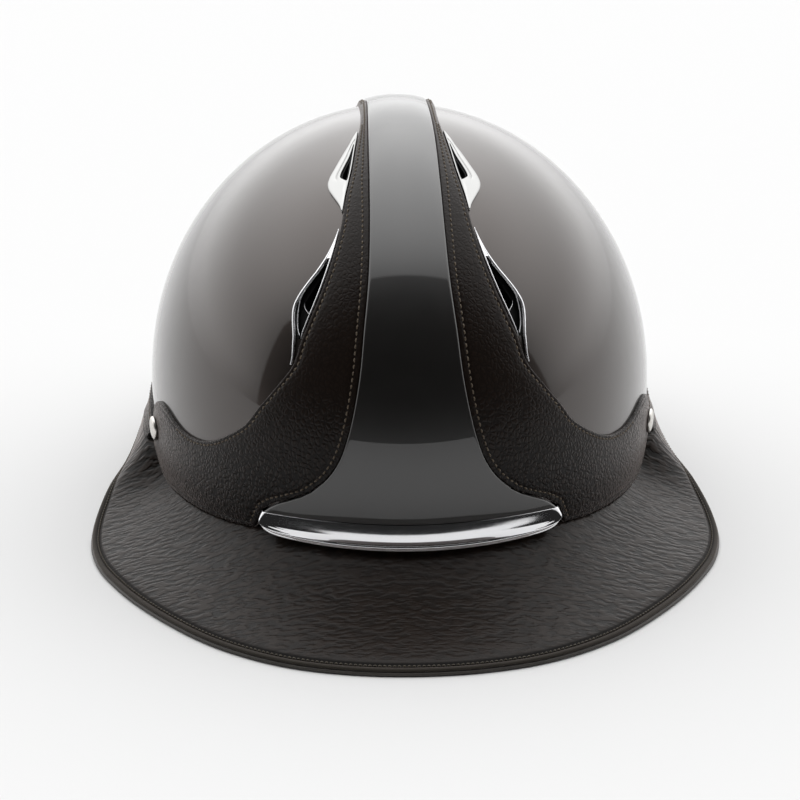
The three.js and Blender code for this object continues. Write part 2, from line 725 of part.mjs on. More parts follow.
addPiece("shell", shellGeometry(), LACQUER);
addPiece("centre_stripe", stripeGeometry(), STRIPE_LACQUER);
addPiece("front_trim", trimGeometry(), CHROME);
addPiece("brim_leather", brimGeometry(0, BRIM_LEATHER, BRIM_LINING_EDGE), BRIM_HIDE);
addPiece("brim_lining", brimGeometry(BRIM_LEATHER + GAP, BRIM_LINING, 0), LINING_FINISH);
for (const side of ["left", "right"]) {
  const isLeft = side === "left";
  addPiece(`front_leather_${side}`, frontPanel(isLeft), PANEL_LEATHER);
  addPiece(`rear_leather_${side}`, rearPanel(isLeft), PANEL_LEATHER);
  addPiece(`vent_frame_upper_${side}`, ventFrame(UPPER_VENT_ROWS, isLeft), CHROME);
  addPiece(`vent_frame_lower_${side}`, ventFrame(LOWER_VENT_ROWS, isLeft), CHROME);
  addPiece(`vent_insert_upper_${side}`, ventInsert(UPPER_VENT_ROWS, false, isLeft), VENT_PLASTIC);
  addPiece(`vent_insert_lower_${side}`, ventInsert(LOWER_VENT_ROWS, true, isLeft), VENT_PLASTIC);
  helmet.add(studMesh(`stud_${side}`, isLeft));
}

export default helmet;
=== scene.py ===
"""A riding helmet: lacquered dome, leather panels, chrome trim and vents, and a wide leather brim.

Everything is worked out in millimetres around the middle of the dome, with the outlines of the CAD model,
and moves into the CAD frame, in metres, when a mesh is written. Left and right are as seen from the front.
"""

import sys

import logging
import math
from dataclasses import dataclass, field
from enum import Enum
from typing import Iterable, Sequence

import bmesh
import bpy
import numpy as np
from mathutils import Matrix, Vector

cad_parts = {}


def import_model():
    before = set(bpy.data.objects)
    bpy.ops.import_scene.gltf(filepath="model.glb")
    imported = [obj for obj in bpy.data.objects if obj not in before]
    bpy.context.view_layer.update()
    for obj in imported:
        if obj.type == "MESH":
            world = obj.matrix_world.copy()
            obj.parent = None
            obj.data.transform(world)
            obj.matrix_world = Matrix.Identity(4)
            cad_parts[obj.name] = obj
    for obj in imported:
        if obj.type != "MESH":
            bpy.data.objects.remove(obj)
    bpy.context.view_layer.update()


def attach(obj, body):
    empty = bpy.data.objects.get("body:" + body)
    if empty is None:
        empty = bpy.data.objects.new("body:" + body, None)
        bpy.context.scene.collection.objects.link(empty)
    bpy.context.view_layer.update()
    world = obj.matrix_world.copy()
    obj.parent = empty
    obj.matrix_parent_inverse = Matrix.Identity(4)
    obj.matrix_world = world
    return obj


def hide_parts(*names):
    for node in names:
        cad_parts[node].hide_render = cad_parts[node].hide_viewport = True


Array = np.ndarray
Number = float | Array
Body = tuple[Array, list]  # points in mm, and faces
Tree = bpy.types.NodeTree
Socket = bpy.types.NodeSocket
Material = bpy.types.Material
Piece = bpy.types.Object

LOG = logging.getLogger("helmet")
MM = 0.001
DOME_PLACE = np.array((0.0, 28.45, 0.0))  # mm, from the CAD frame's origin to the middle of the dome
GAP = 0.35  # mm, between neighbours
SEAT = 0.7  # mm, from the dome to the middle of what lies on it, which is pressed down at its edges
BED = 0.1  # mm, from the dome to the underside of what lies on it
FOOT_MARGIN = 2.5  # mm, from the rim up to the leather at the back
SHARP = 38.0  # degrees between two faces from which their edge stays sharp
ROUNDED_SHARP = 60.0  # the same on pieces whose edges are finely rounded
NEWTON_STEPS = 6
HALVINGS = 40
STEEPEST_RISE = 60.0  # degrees up and down, within which a level is looked for
TINY = 1e-12


class Side(Enum):
    """The half of the helmet that a piece is on. Pieces are worked out for the right half."""

    LEFT = "left"
    RIGHT = "right"

    def turned(self, points: Array) -> Array:
        """The points of the right half, mirrored where this is the left one."""
        return points * (-1.0, 1.0, 1.0) if self is Side.LEFT else points


# Numbers and curves


def lerp(low: Number, high: Number, share: Number) -> Number:
    """The value at a share of the way from low to high."""
    return low + (high - low) * share


def smoothstep(value: Number, low: float, high: float) -> Number:
    """A smooth rise from 0 at low to 1 at high."""
    share = np.clip((value - low) / (high - low), 0, 1)
    return share * share * (3 - 2 * share)


def rounding(distance: Number, radius: Number) -> Number:
    """How far a rounded edge of that radius has dropped at a distance from it."""
    inside = radius - np.clip(distance, 0, radius)
    return radius - np.sqrt(np.maximum(radius**2 - inside**2, 0))


def groove(distance: Number, width: float, depth: float) -> Number:
    """How deep a soft groove is at a distance from its middle."""
    return depth * np.exp(-((2 * distance / width) ** 2))


def unit(vectors: Array) -> Array:
    """The vectors at length 1."""
    return vectors / np.linalg.norm(vectors, axis=-1, keepdims=True)


def lengths(points: Array) -> Array:
    """How far along a line of points each of them is."""
    steps = np.linalg.norm(np.diff(points, axis=0), axis=-1)
    return np.concatenate(((0.0,), np.cumsum(steps)))


def area(grid: Array) -> float:
    """The area of a grid of points, rows by columns."""
    down, across = np.diff(grid, axis=0), np.diff(grid, axis=1)
    return float(np.linalg.norm(np.cross(down[:, :-1], across[:-1]), axis=-1).sum())


@dataclass(frozen=True)
class Column:
    """The smooth function through one column of a table."""

    places: tuple[float, ...]
    values: tuple[float, ...]

    @classmethod
    def of(cls, *rows: tuple[float, float]) -> "Column":
        """The column through rows of a place and a value."""
        places, values = zip(*sorted(rows))
        return cls(places, values)

    def __call__(self, place: Number) -> Number:
        """The value at a place.

        Args:
            place: one place or an array of them, kept within the table.

        Returns:
            The value at each place, on a cubic through the rows.
        """
        x, y = np.array(self.places), np.array(self.values)
        at = np.clip(np.asarray(place, float), x[0], x[-1])
        secants = np.diff(y) / np.diff(x)
        slopes = np.concatenate((secants[:1], (secants[1:] + secants[:-1]) / 2, secants[-1:]))
        k = np.clip(np.searchsorted(x, at, side="right") - 1, 0, len(x) - 2)
        step = x[k + 1] - x[k]
        t = (at - x[k]) / step
        start = (1 + 2 * t) * (1 - t) ** 2 * y[k] + t * (1 - t) ** 2 * step * slopes[k]
        return start + t * t * (3 - 2 * t) * y[k + 1] - t * t * (1 - t) * step * slopes[k + 1]


def centripetal(points: Array, shares: Sequence[Array]) -> list[Array]:
    """A centripetal curve through points.

    Args:
        points: the points that it passes through.
        shares: for each stretch between two points, the shares of the way at which it is wanted.

    Returns:
        The curve's points for each stretch.
    """
    ends = (2 * points[0] - points[1], 2 * points[-1] - points[-2])
    line = np.vstack((ends[:1], points, ends[1:]))
    found = []
    for k, share in enumerate(shares):
        a, b, c, d = line[k : k + 4]
        before, along, after = (math.sqrt(np.linalg.norm(q - p)) for p, q in ((a, b), (b, c), (c, d)))
        start = ((b - a) / before - (c - a) / (before + along)) * along + (c - b)
        end = ((d - c) / after - (d - b) / (along + after)) * along + (c - b)
        t = np.asarray(share)[:, None]
        curve = b + start * t + (3 * (c - b) - 2 * start - end) * t**2
        found.append(curve + (2 * (b - c) + start + end) * t**3)
    return found


# The dome and the outlines on it


def over(across: Number, tilt: Number) -> Array:
    """A direction to the side of the helmet's middle plane.

    Args:
        across: how far to the side, as a share of the half width.
        tilt: degrees back from the front.

    Returns:
        The directions.
    """
    middle = np.sqrt(1 - np.asarray(across, float) ** 2)
    angle = np.radians(tilt)
    return np.stack(np.broadcast_arrays(across, -middle * np.cos(angle), middle * np.sin(angle)), -1)


def around(turn: Number, rise: Number) -> Array:
    """A direction around the dome.

    Args:
        turn: degrees from the front.
        rise: degrees from the widest level.

    Returns:
        The directions.
    """
    turn, rise = np.radians(turn), np.radians(rise)
    level = np.cos(rise)
    return np.stack(np.broadcast_arrays(level * np.sin(turn), -level * np.cos(turn), np.sin(rise)), -1)


@dataclass(frozen=True)
class Dome:
    """The dome's surface: ellipsoid quarters, with the change of height at its widest level smoothed."""

    half_width: float = 110
    front: float = 135
    back: float = 138
    crown: float = 115.5
    skirt: float = 150
    widest: float = 51
    blend: float = 0.2  # how gently the crown's curve becomes the skirt's, as a share of the height

    def height(self, share: Array) -> Array:
        """Height over the widest level.

        Args:
            share: of the way up, from -1 to 1.

        Returns:
            The heights, in mm.
        """
        half = (self.crown - self.skirt) / 2
        soft = np.abs(share) + self.blend * np.log1p(np.exp(-2 * np.abs(share) / self.blend))
        return (self.crown + self.skirt) / 2 * share + half * soft

    def slope(self, share: Array) -> Array:
        """How fast the height rises with the share."""
        half = (self.crown - self.skirt) / 2
        return (self.crown + self.skirt) / 2 + half * np.tanh(share / self.blend)

    def share_at(self, height: Array) -> Array:
        """The share of the way up at which a height is reached.

        Args:
            height: in mm over the widest level.

        Returns:
            The shares, from -1 to 1.
        """
        share = height / np.where(height < 0, self.skirt, self.crown)
        for _ in range(NEWTON_STEPS):
            share = share - (self.height(share) - height) / self.slope(share)
        return np.clip(share, -1, 1)

    def settled(self, direction: Array) -> Array:
        """The direction with its upward share set for the smoothed height, at the same level.

        Args:
            direction: one direction or an array of them, of any length.

        Returns:
            The directions at length 1.
        """
        d = unit(np.asarray(direction, float))
        rise = self.share_at(d[..., 2] * np.where(d[..., 2] < 0, self.skirt, self.crown))
        scale = np.sqrt((1 - rise**2 + TINY) / (1 - d[..., 2] ** 2 + TINY))
        return np.stack((d[..., 0] * scale, d[..., 1] * scale, rise), -1)

    def leaning(self, settled: Array) -> Array:
        """The outward normal in a settled direction.

        Args:
            settled: the directions that settled() gives.

        Returns:
            The normals.
        """
        length = np.where(settled[..., 1] < 0, self.front, self.back)
        rise = settled[..., 2] / self.slope(settled[..., 2])
        return unit(np.stack((settled[..., 0] / self.half_width, settled[..., 1] / length, rise), -1))

    def normal(self, direction: Array) -> Array:
        """The outward normal of the dome in a direction."""
        return self.leaning(self.settled(direction))

    def point(self, direction: Array, lift: Number = 0.0) -> Array:
        """The point in a direction that stands a lift off the dome.

        Args:
            direction: one direction or an array of them.
            lift: how far off the dome, in mm, for all or for each.

        Returns:
            The points, in mm.
        """
        s = self.settled(direction)
        length = np.where(s[..., 1] < 0, self.front, self.back)
        level = self.height(s[..., 2]) + self.widest
        foot = np.stack((s[..., 0] * self.half_width, s[..., 1] * length, level), -1)
        return foot + self.leaning(s) * np.asarray(lift, float)[..., None]

    def normal_near(self, points: Array) -> tuple[Array, Array]:
        """The dome's normals at points on it.

        Args:
            points: points in mm.

        Returns:
            The normals, and how far from 1 the dome's equation is at each point.
        """
        share = self.share_at(points[:, 2] - self.widest)
        length = np.where(points[:, 1] < 0, self.front, self.back)
        settled = np.stack((points[:, 0] / self.half_width, points[:, 1] / length, share), -1)
        return self.leaning(settled), np.abs(np.linalg.norm(settled, axis=-1) - 1)

    def at_level(self, turn: Number, level: Number, lift: float = 0.0) -> Array:
        """The direction at a turn where a surface reaches a level.

        Args:
            turn: degrees from the front.
            level: in mm over the ground.
            lift: how far that surface stands off the dome.

        Returns:
            The directions.
        """
        turn, level = np.broadcast_arrays(np.asarray(turn, float), level)
        low, high = np.full(turn.shape, -STEEPEST_RISE), np.full(turn.shape, STEEPEST_RISE)
        for _ in range(HALVINGS):
            middle = (low + high) / 2
            below = self.point(around(turn, middle), lift)[..., 2] < level
            low, high = np.where(below, middle, low), np.where(below, high, middle)
        return around(turn, (low + high) / 2)

    def tilt_at_level(self, across: Number, level: Number) -> Number:
        """The tilt at which the dome comes down to a level in front, a share of the half width aside."""
        height = np.where(np.asarray(level) < self.widest, self.skirt, self.crown)
        return np.degrees(np.arcsin((level - self.widest) / (height * np.sqrt(1 - across**2))))


# By its place: how far the stripe has widened, from 0 at its narrowest to 1 at its front foot.
STRIPE_FLARE = Column.of(
    (-1, 1), (-0.98, 0.9), (-0.966, 0.775), (-0.95, 0.625), (-0.932, 0.52), (-0.905, 0.42), (-0.87, 0.335),
    (-0.83, 0.275), (-0.79, 0.23), (-0.7, 0.158), (-0.615, 0.117), (-0.5, 0.064), (-0.4, 0.042),
    (-0.27, 0.03), (-0.13, 0.022), (0, 0.01), (0.12, 0), (0.24, 0.02), (0.36, 0.05),
    (0.48, 0.09), (0.6, 0.14),
    (0.71, 0.2), (0.81, 0.28), (0.91, 0.38), (1, 0.5),
)
# By its place: how far aside the leather's outer edge lies, as a share of the dome's half width.
WINDOW_ACROSS = Column.of(
    (-0.7875, 0.558), (-0.733, 0.4905), (-0.68, 0.425), (-0.628, 0.395), (-0.584, 0.3635),
    (-0.521, 0.318), (-0.4515, 0.277), (-0.378, 0.244), (-0.302, 0.221), (-0.2205, 0.193),
    (-0.147, 0.1755), (-0.0735, 0.16), (0, 0.15), (0.12, 0.149),
)
# By the turn from the front: degrees of rise of the seam over the brim.
SEAM_RISE = Column.of(
    (0, -9.98), (33, -9.98), (42, -10.9), (52, -11.75), (61, -12.35), (68, -12.8), (71.5, -12.6),
    (74, -11.8), (76, -10.65), (78, -9.4), (80.5, -8.6), (86, -8.05), (95, -7.9), (106, -8.4),
)


@dataclass(frozen=True)
class Outlines:
    """The lines on the dome that neighbouring pieces share.

    A place runs from -1 at the front foot of the stripe over 0 at the crown to 1 at its back foot.
    """

    dome: Dome = Dome()
    stripe_half_width: float = 13
    stripe_foot_half_width: float = 57.8
    trim_top_level: float = 37.3
    trim_top_end_level: float = 34.6
    brim_height: float = 3.45
    brim_end_turn: float = 106
    rim_margin: float = 2
    rim_low_turn: float = 68  # from here the rim keeps its level
    rim_fall: tuple[float, float] = (95, 140)  # turns between which it comes down to the ground

    def stripe_half(self, place: Number) -> Number:
        """Half width of the stripe at a place."""
        return lerp(self.stripe_half_width, self.stripe_foot_half_width, STRIPE_FLARE(place))

    def trim_top(self, side: Number) -> Number:
        """Level of the trim's top edge, from -1 at its left end to 1 at its right one."""
        return lerp(self.trim_top_level, self.trim_top_end_level, np.abs(side) ** 3)

    def stripe(self, place: Number, side: Number, out: Number = 0.0) -> Array:
        """Directions on the stripe.

        Args:
            place: along it.
            side: -1 at its left edge, 0 in its middle, 1 at its right edge.
            out: how far past that edge, in mm.

        Returns:
            The directions.
        """
        place, side, out = np.broadcast_arrays(np.asarray(place, float), side, out)
        across = (side * self.stripe_half(place) + np.sign(side) * out) / self.dome.half_width
        front = self.dome.tilt_at_level(across, self.trim_top(side))
        back = 180 - self.dome.tilt_at_level(across, FOOT_MARGIN)
        return over(across, lerp(90, np.where(place < 0, front, back), np.abs(place)))

    def window(self, place: Number, out: Number = 0.0) -> Array:
        """Directions on the leather's outer edge down the front.

        Args:
            place: along the stripe.
            out: how far past that edge, in mm.

        Returns:
            The directions.
        """
        place = np.asarray(place, float)
        front = self.dome.tilt_at_level(0.0, self.trim_top_level)
        back = 180 - self.dome.tilt_at_level(0.0, FOOT_MARGIN)
        across = WINDOW_ACROSS(place) + np.asarray(out) / self.dome.half_width
        return over(across, lerp(90, np.where(place < 0, front, back), np.abs(place)))

    def seam_level(self, turn: Number) -> Number:
        """Level of the seam between the brim and what stands above it."""
        turn = np.minimum(turn, self.brim_end_turn)
        return self.dome.point(around(turn, SEAM_RISE(turn)))[..., 2]

    def rim_level(self, turn: Number) -> Number:
        """Level of the dome's rim: under the brim in front, on the ground behind."""
        root = self.seam_level(np.minimum(turn, self.rim_low_turn)) - self.brim_height - GAP
        return (root - self.rim_margin) * (1 - smoothstep(np.asarray(turn, float), *self.rim_fall))

    def foot(self, turn: Number) -> Array:
        """Directions along the foot of the leather: on the seam, and behind it above the rim.

        Args:
            turn: degrees from the front.

        Returns:
            The directions.
        """
        behind = smoothstep(np.asarray(turn, float), self.brim_end_turn, self.rim_fall[1])
        level = lerp(self.seam_level(turn), self.rim_level(turn) + FOOT_MARGIN, behind)
        return self.dome.at_level(turn, level)


# Meshes


def grid_quads(index: Array) -> Array:
    """The four-sided faces of a grid of point numbers."""
    corners = (index[:-1, :-1], index[1:, :-1], index[1:, 1:], index[:-1, 1:])
    return np.stack(corners, -1).reshape(-1, 4)


def slab(top: Array, bottom: Array) -> Body:
    """A closed block between two grids of points.

    Args:
        top: the outer grid, rows by columns.
        bottom: the inner grid, of the same shape.

    Returns:
        The points and the faces.
    """
    rows, columns = top.shape[:2]
    upper = np.arange(rows * columns).reshape(rows, columns)
    lower = upper + rows * columns

    def border(index: Array) -> Array:
        """The point numbers once around the grid."""
        return np.concatenate((index[0], index[1:, -1], index[-1, -2::-1], index[-2:0:-1, 0]))

    walls = grid_quads(np.stack([np.append(border(index), index[0, 0]) for index in (upper, lower)]))
    faces = np.vstack((grid_quads(upper), grid_quads(lower)[:, ::-1], walls[:, ::-1]))
    return np.vstack((top.reshape(-1, 3), bottom.reshape(-1, 3))), faces.tolist()


def rings(loops: Array, closed: bool) -> Body:
    """A solid through loops of points, each of which runs out along one side and back along the other.

    Args:
        loops: loops by points.
        closed: whether the last loop joins the first, around a hole; otherwise both are filled across.

    Returns:
        The points and the faces.
    """
    count, size = loops.shape[:2]
    index = np.arange(count * size).reshape(count, size)
    index = np.hstack((index, index[:, :1]))
    faces = grid_quads(np.vstack((index, index[:1])) if closed else index).tolist()
    if not closed:
        half = size // 2
        for loop, turned in ((index[0], 1), (index[-1], -1)):
            pairs = np.stack((loop[:half], loop[size - 1 : half - 1 : -1]))
            faces += grid_quads(pairs)[:, ::turned].tolist()
    return loops.reshape(-1, 3), faces


def bowl(outer: Array, inner: Array) -> Body:
    """A closed bowl through rings that run from the outer pole to the rim and back to the inner pole.

    Args:
        outer: rings by points, the first ring all at the pole.
        inner: rings from the rim to the inner pole.

    Returns:
        The points and the faces.
    """
    body = np.vstack((outer[1:], inner[:-1]))
    count, size = body.shape[:2]
    index = np.arange(count * size).reshape(count, size)
    index = np.hstack((index, index[:, :1]))
    first, last = count * size, count * size + 1
    faces = grid_quads(index).tolist()
    faces += [(first, int(a), int(b)) for a, b in zip(index[0], index[0, 1:])]
    faces += [(last, int(b), int(a)) for a, b in zip(index[-1], index[-1, 1:])]
    return np.vstack((body.reshape(-1, 3), outer[0, :1], inner[-1, :1])), faces


def lathe(profile: Sequence[tuple[float, float]], sides: int) -> Body:
    """A turned solid, upright.

    Args:
        profile: rows of radius and height, starting and ending on the axis.
        sides: points around it.

    Returns:
        The points and the faces.
    """
    angles = np.arange(sides) * 2 * math.pi / sides
    radius, height = np.array(profile).T
    around_axis = [np.outer(radius, turned) for turned in (np.cos(angles), np.sin(angles))]
    points = np.stack((*around_axis, np.outer(height, np.ones(sides))), -1)
    middle = len(profile) // 2
    return bowl(points[:middle], points[middle:])


def make_object(name: str, points: Array, faces: Iterable[Sequence[int]], material: Material | None,
                sharp: float = SHARP) -> Piece:
    """Writes a mesh and its object.

    Args:
        name: the piece's name.
        points: in mm around the middle of the dome.
        faces: closed, in one sense; they are turned outwards here.
        material: the finish.
        sharp: the angle in degrees from which an edge stays sharp.

    Returns:
        The object, at the origin.
    """
    mesh = bpy.data.meshes.new(name)
    mesh.from_pydata(((points + DOME_PLACE) * MM).tolist(), [], list(faces))
    shape = bmesh.new()
    shape.from_mesh(mesh)
    if shape.calc_volume(signed=True) < 0:
        bmesh.ops.reverse_faces(shape, faces=shape.faces)
    shape.to_mesh(mesh)
    shape.free()
    if material is not None:
        mesh.materials.append(material)
    mesh.shade_smooth()
    mesh.set_sharp_from_angle(angle=math.radians(sharp))
    made = bpy.data.objects.new(name, mesh)
    bpy.context.scene.collection.objects.link(made)
    return made


def frozen(source: Piece) -> Piece:
    """The object with its modifiers made part of a plain mesh.

    Args:
        source: the object with modifiers; it is removed.

    Returns:
        A new object of the same name.
    """
    depsgraph = bpy.context.evaluated_depsgraph_get()
    mesh = bpy.data.meshes.new_from_object(source.evaluated_get(depsgraph))
    name = source.name
    bpy.data.objects.remove(source)
    mesh.name = name
    made = bpy.data.objects.new(name, mesh)
    bpy.context.scene.collection.objects.link(made)
    return made


def cut(target: Piece, cutters: Sequence[Piece]) -> Piece:
    """Takes bodies out of a piece.

    Args:
        target: the piece; it is removed.
        cutters: the bodies to take out; they are removed too.

    Returns:
        What is left, as a new object of the same name.
    """
    for cutter in cutters:
        modifier = target.modifiers.new(f"cut_{cutter.name}", "BOOLEAN")
        modifier.operation = "DIFFERENCE"
        modifier.solver = "EXACT"
        modifier.object = cutter
    made = frozen(target)
    for cutter in cutters:
        bpy.data.objects.remove(cutter)
    return made


def place_piece(piece: Piece, nodes: Sequence[str]) -> None:
    """Ties a piece to the frame and reports it.

    Args:
        piece: the finished object.
        nodes: the CAD nodes that it stands for, if any.
    """
    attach(piece, "root")
    if nodes:
        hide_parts(*nodes)
    piece.data.calc_loop_triangles()
    LOG.info("%s: %d triangles", piece.name, len(piece.data.loop_triangles))


# Finishes

# Sockets of the Map Range node, and of the Mix node for numbers and for colours, by their place in it.
VALUE, FROM_LOW, FROM_HIGH, TO_LOW, TO_HIGH = range(5)
FACTOR, A, B = 0, 2, 3
COLOUR_A, COLOUR_B, COLOUR = 6, 7, 2


def linear(colour: str) -> tuple[float, float, float, float]:
    """An sRGB hex colour as linear red, green, blue and alpha."""
    parts = [int(colour[k : k + 2], 16) / 255 for k in (1, 3, 5)]
    return (*(c / 12.92 if c <= 0.04045 else ((c + 0.055) / 1.055) ** 2.4 for c in parts), 1.0)


def add_node(tree: Tree, kind: str, inputs: dict | None = None, **settings: object) -> bpy.types.Node:
    """Adds a node with its settings and links.

    Args:
        tree: the node tree.
        kind: the node's type.
        inputs: for each input, by name or number, a value or the socket that feeds it.
        settings: the node's own properties.

    Returns:
        The node.
    """
    node = tree.nodes.new(kind)
    for name, value in settings.items():
        setattr(node, name, value)
    for key, value in (inputs or {}).items():
        if isinstance(value, Socket):
            tree.links.new(value, node.inputs[key])
        else:
            node.inputs[key].default_value = value
    return node


@dataclass(frozen=True)
class Finish:
    """A finish on the helmet, as one Principled material."""

    name: str
    colour: str
    roughness: float
    metallic: float = 0.0
    sockets: dict = field(default_factory=dict)

    def material(self) -> Material:
        """Builds the material.

        Returns:
            The material, with its surface fed by detail().
        """
        made = bpy.data.materials.new(self.name)
        made.use_nodes = True
        tree = made.node_tree
        tree.nodes.clear()
        place = add_node(tree, "ShaderNodeTexCoord").outputs["Object"]
        given = {"Base Color": linear(self.colour), "Roughness": self.roughness, "Metallic": self.metallic}
        fed = {**given, **self.sockets, **self.detail(tree, place)}
        shader = add_node(tree, "ShaderNodeBsdfPrincipled", fed)
        add_node(tree, "ShaderNodeOutputMaterial", {"Surface": shader.outputs["BSDF"]})
        return made

    def detail(self, tree: Tree, place: Socket) -> dict[str, Socket]:
        """Nothing more than one colour, which the finishes below replace by their patterns."""
        return {}


@dataclass(frozen=True)
class Polished(Finish):
    """A smooth surface whose gloss changes a little over it."""

    mark: float = 1.0  # mm
    stretch: tuple[float, float, float] = (1.0, 1.0, 1.0)  # scale of the pattern
    octaves: float = 2.0
    haze: tuple[float, float] = (1.0, 1.0)  # the least and the most roughness, as shares of the even one

    def detail(self, tree: Tree, place: Socket) -> dict[str, Socket]:
        """Marks in the gloss.

        Args:
            tree: the material's nodes.
            place: Object coordinates, in metres.

        Returns:
            The roughness.
        """
        stretched = add_node(tree, "ShaderNodeMapping", {"Vector": place, "Scale": self.stretch}).outputs[0]
        marks = {"Vector": stretched, "Scale": 1 / (self.mark * MM), "Detail": self.octaves}
        noise = add_node(tree, "ShaderNodeTexNoise", marks)
        low, high = (self.roughness * share for share in self.haze)
        span = {VALUE: noise.outputs["Fac"], TO_LOW: low, TO_HIGH: high}
        return {"Roughness": add_node(tree, "ShaderNodeMapRange", span).outputs[0]}


@dataclass(frozen=True)
class Lacquer(Polished):
    """Car lacquer sprayed on an ABS shell in a metallic coat and a polished clear coat.

    The clear coat gives sharp reflections, the flakes below it a soft brown glow where light falls. Polishing
    leaves faint swells in the coat below.
    """

    mark: float = 9.0
    haze: tuple[float, float] = (0.9, 1.1)


@dataclass(frozen=True)
class Plating(Polished):
    """Chrome plating on a polished casting: a mirror with the faintest haze of wiping marks, side to side."""

    mark: float = 1.4
    stretch: tuple[float, float, float] = (0.15, 1.0, 1.0)
    octaves: float = 3.0
    haze: tuple[float, float] = (0.7, 1.4)


@dataclass(frozen=True)
class PebbledLeather(Finish):
    """Calf leather with a natural pebbled grain, stretched over the shell and waxed.

    The creases between the pebbles are painted darker, as shade, and are duller; the pebbles keep the full
    colour.
    Real pores are finer than the render shows, so they are drawn coarser.
    """

    # Painted shade: the colour that the creases between the pebbles are darkened to.
    crease_shade: str = "#040303"
    pebble: float = 1.9  # mm across
    relief: float = 0.17  # mm deep
    drawn_flat: tuple[float, float] = (0.09, 0.045)  # m up, between which the grain goes from flat to full
    grain_kept: float = 0.35  # share of the grain that is left where it is flat
    flat_height: float = 0.8  # height of grain that is flat, as a share of a pebble's
    upright: float = 0.85  # scale of the pattern upwards: pebbles stand a little taller than wide
    bend_size: float = 3.333  # mm between the swells that bend the creases
    bend: float = 1.2  # mm that they bend them by
    slope: float = 0.3  # share of a pebble that its rounded side takes
    pore: float = 0.4167  # mm
    pore_depth: float = 0.15  # as a share of the relief
    fold: float = 3.846  # mm
    fold_depth: float = 0.5
    lit: float = 0.8  # height from which the grain has its full colour
    dulling: float = 0.12  # how much rougher the creases are

    def detail(self, tree: Tree, place: Socket) -> dict[str, Socket]:
        """Pebbles, creases, folds and pores.

        Args:
            tree: the material's nodes.
            place: Object coordinates, in metres.

        Returns:
            The colour, the roughness and the relief's normal.
        """
        scale = (1.0, 1.0, self.upright)
        drawn = add_node(tree, "ShaderNodeMapping", {"Vector": place, "Scale": scale}).outputs[0]
        swells = {"Vector": drawn, "Scale": 1 / (self.bend_size * MM), "Detail": 2.0}
        warp = add_node(tree, "ShaderNodeTexNoise", swells)
        moved = add_node(tree, "ShaderNodeVectorMath",
                         {0: warp.outputs["Color"], 1: (self.bend * MM,) * 3, 2: drawn},
                         operation="MULTIPLY_ADD")
        cells = {"Vector": moved.outputs[0], "Scale": 1 / (self.pebble * MM)}
        edge = add_node(tree, "ShaderNodeTexVoronoi", cells, feature="DISTANCE_TO_EDGE")
        pebbles = add_node(tree, "ShaderNodeMapRange",
                           {VALUE: edge.outputs["Distance"], FROM_LOW: 0.0, FROM_HIGH: self.slope},
                           interpolation_type="SMOOTHSTEP")
        level = add_node(tree, "ShaderNodeSeparateXYZ", {0: place}).outputs[2]
        high, low = self.drawn_flat
        shown = add_node(tree, "ShaderNodeMapRange",
                         {VALUE: level, FROM_LOW: high, FROM_HIGH: low, TO_LOW: self.grain_kept,
                          TO_HIGH: 1.0})
        grain = add_node(tree, "ShaderNodeMix",
                         {FACTOR: shown.outputs[0], A: self.flat_height, B: pebbles.outputs[0]}).outputs[0]
        pores = add_node(tree, "ShaderNodeTexNoise",
                         {"Vector": place, "Scale": 1 / (self.pore * MM), "Detail": 3.0})
        folds = add_node(tree, "ShaderNodeTexNoise",
                         {"Vector": drawn, "Scale": 1 / (self.fold * MM), "Detail": 1.0})
        height = grain
        for noise, depth in ((pores, self.pore_depth), (folds, self.fold_depth)):
            height = add_node(tree, "ShaderNodeMath", {0: noise.outputs["Fac"], 1: depth, 2: height},
                              operation="MULTIPLY_ADD").outputs[0]
        raised = {"Height": height, "Distance": self.relief * MM, "Strength": 1.0}
        bump = add_node(tree, "ShaderNodeBump", raised)
        # Painted shade: the colour goes from the full colour on the pebbles' tops down to the crease shade in
        # the creases.
        light = add_node(tree, "ShaderNodeMapRange", {VALUE: grain, FROM_LOW: 0.0, FROM_HIGH: self.lit})
        shades = {FACTOR: light.outputs[0], COLOUR_A: linear(self.crease_shade), COLOUR_B: linear(self.colour)}
        colour = add_node(tree, "ShaderNodeMix", shades, data_type="RGBA")
        dull = add_node(tree, "ShaderNodeMapRange",
                        {VALUE: grain, TO_LOW: self.roughness + self.dulling, TO_HIGH: self.roughness})
        return {"Base Color": colour.outputs[COLOUR], "Roughness": dull.outputs[0],
                "Normal": bump.outputs["Normal"]}


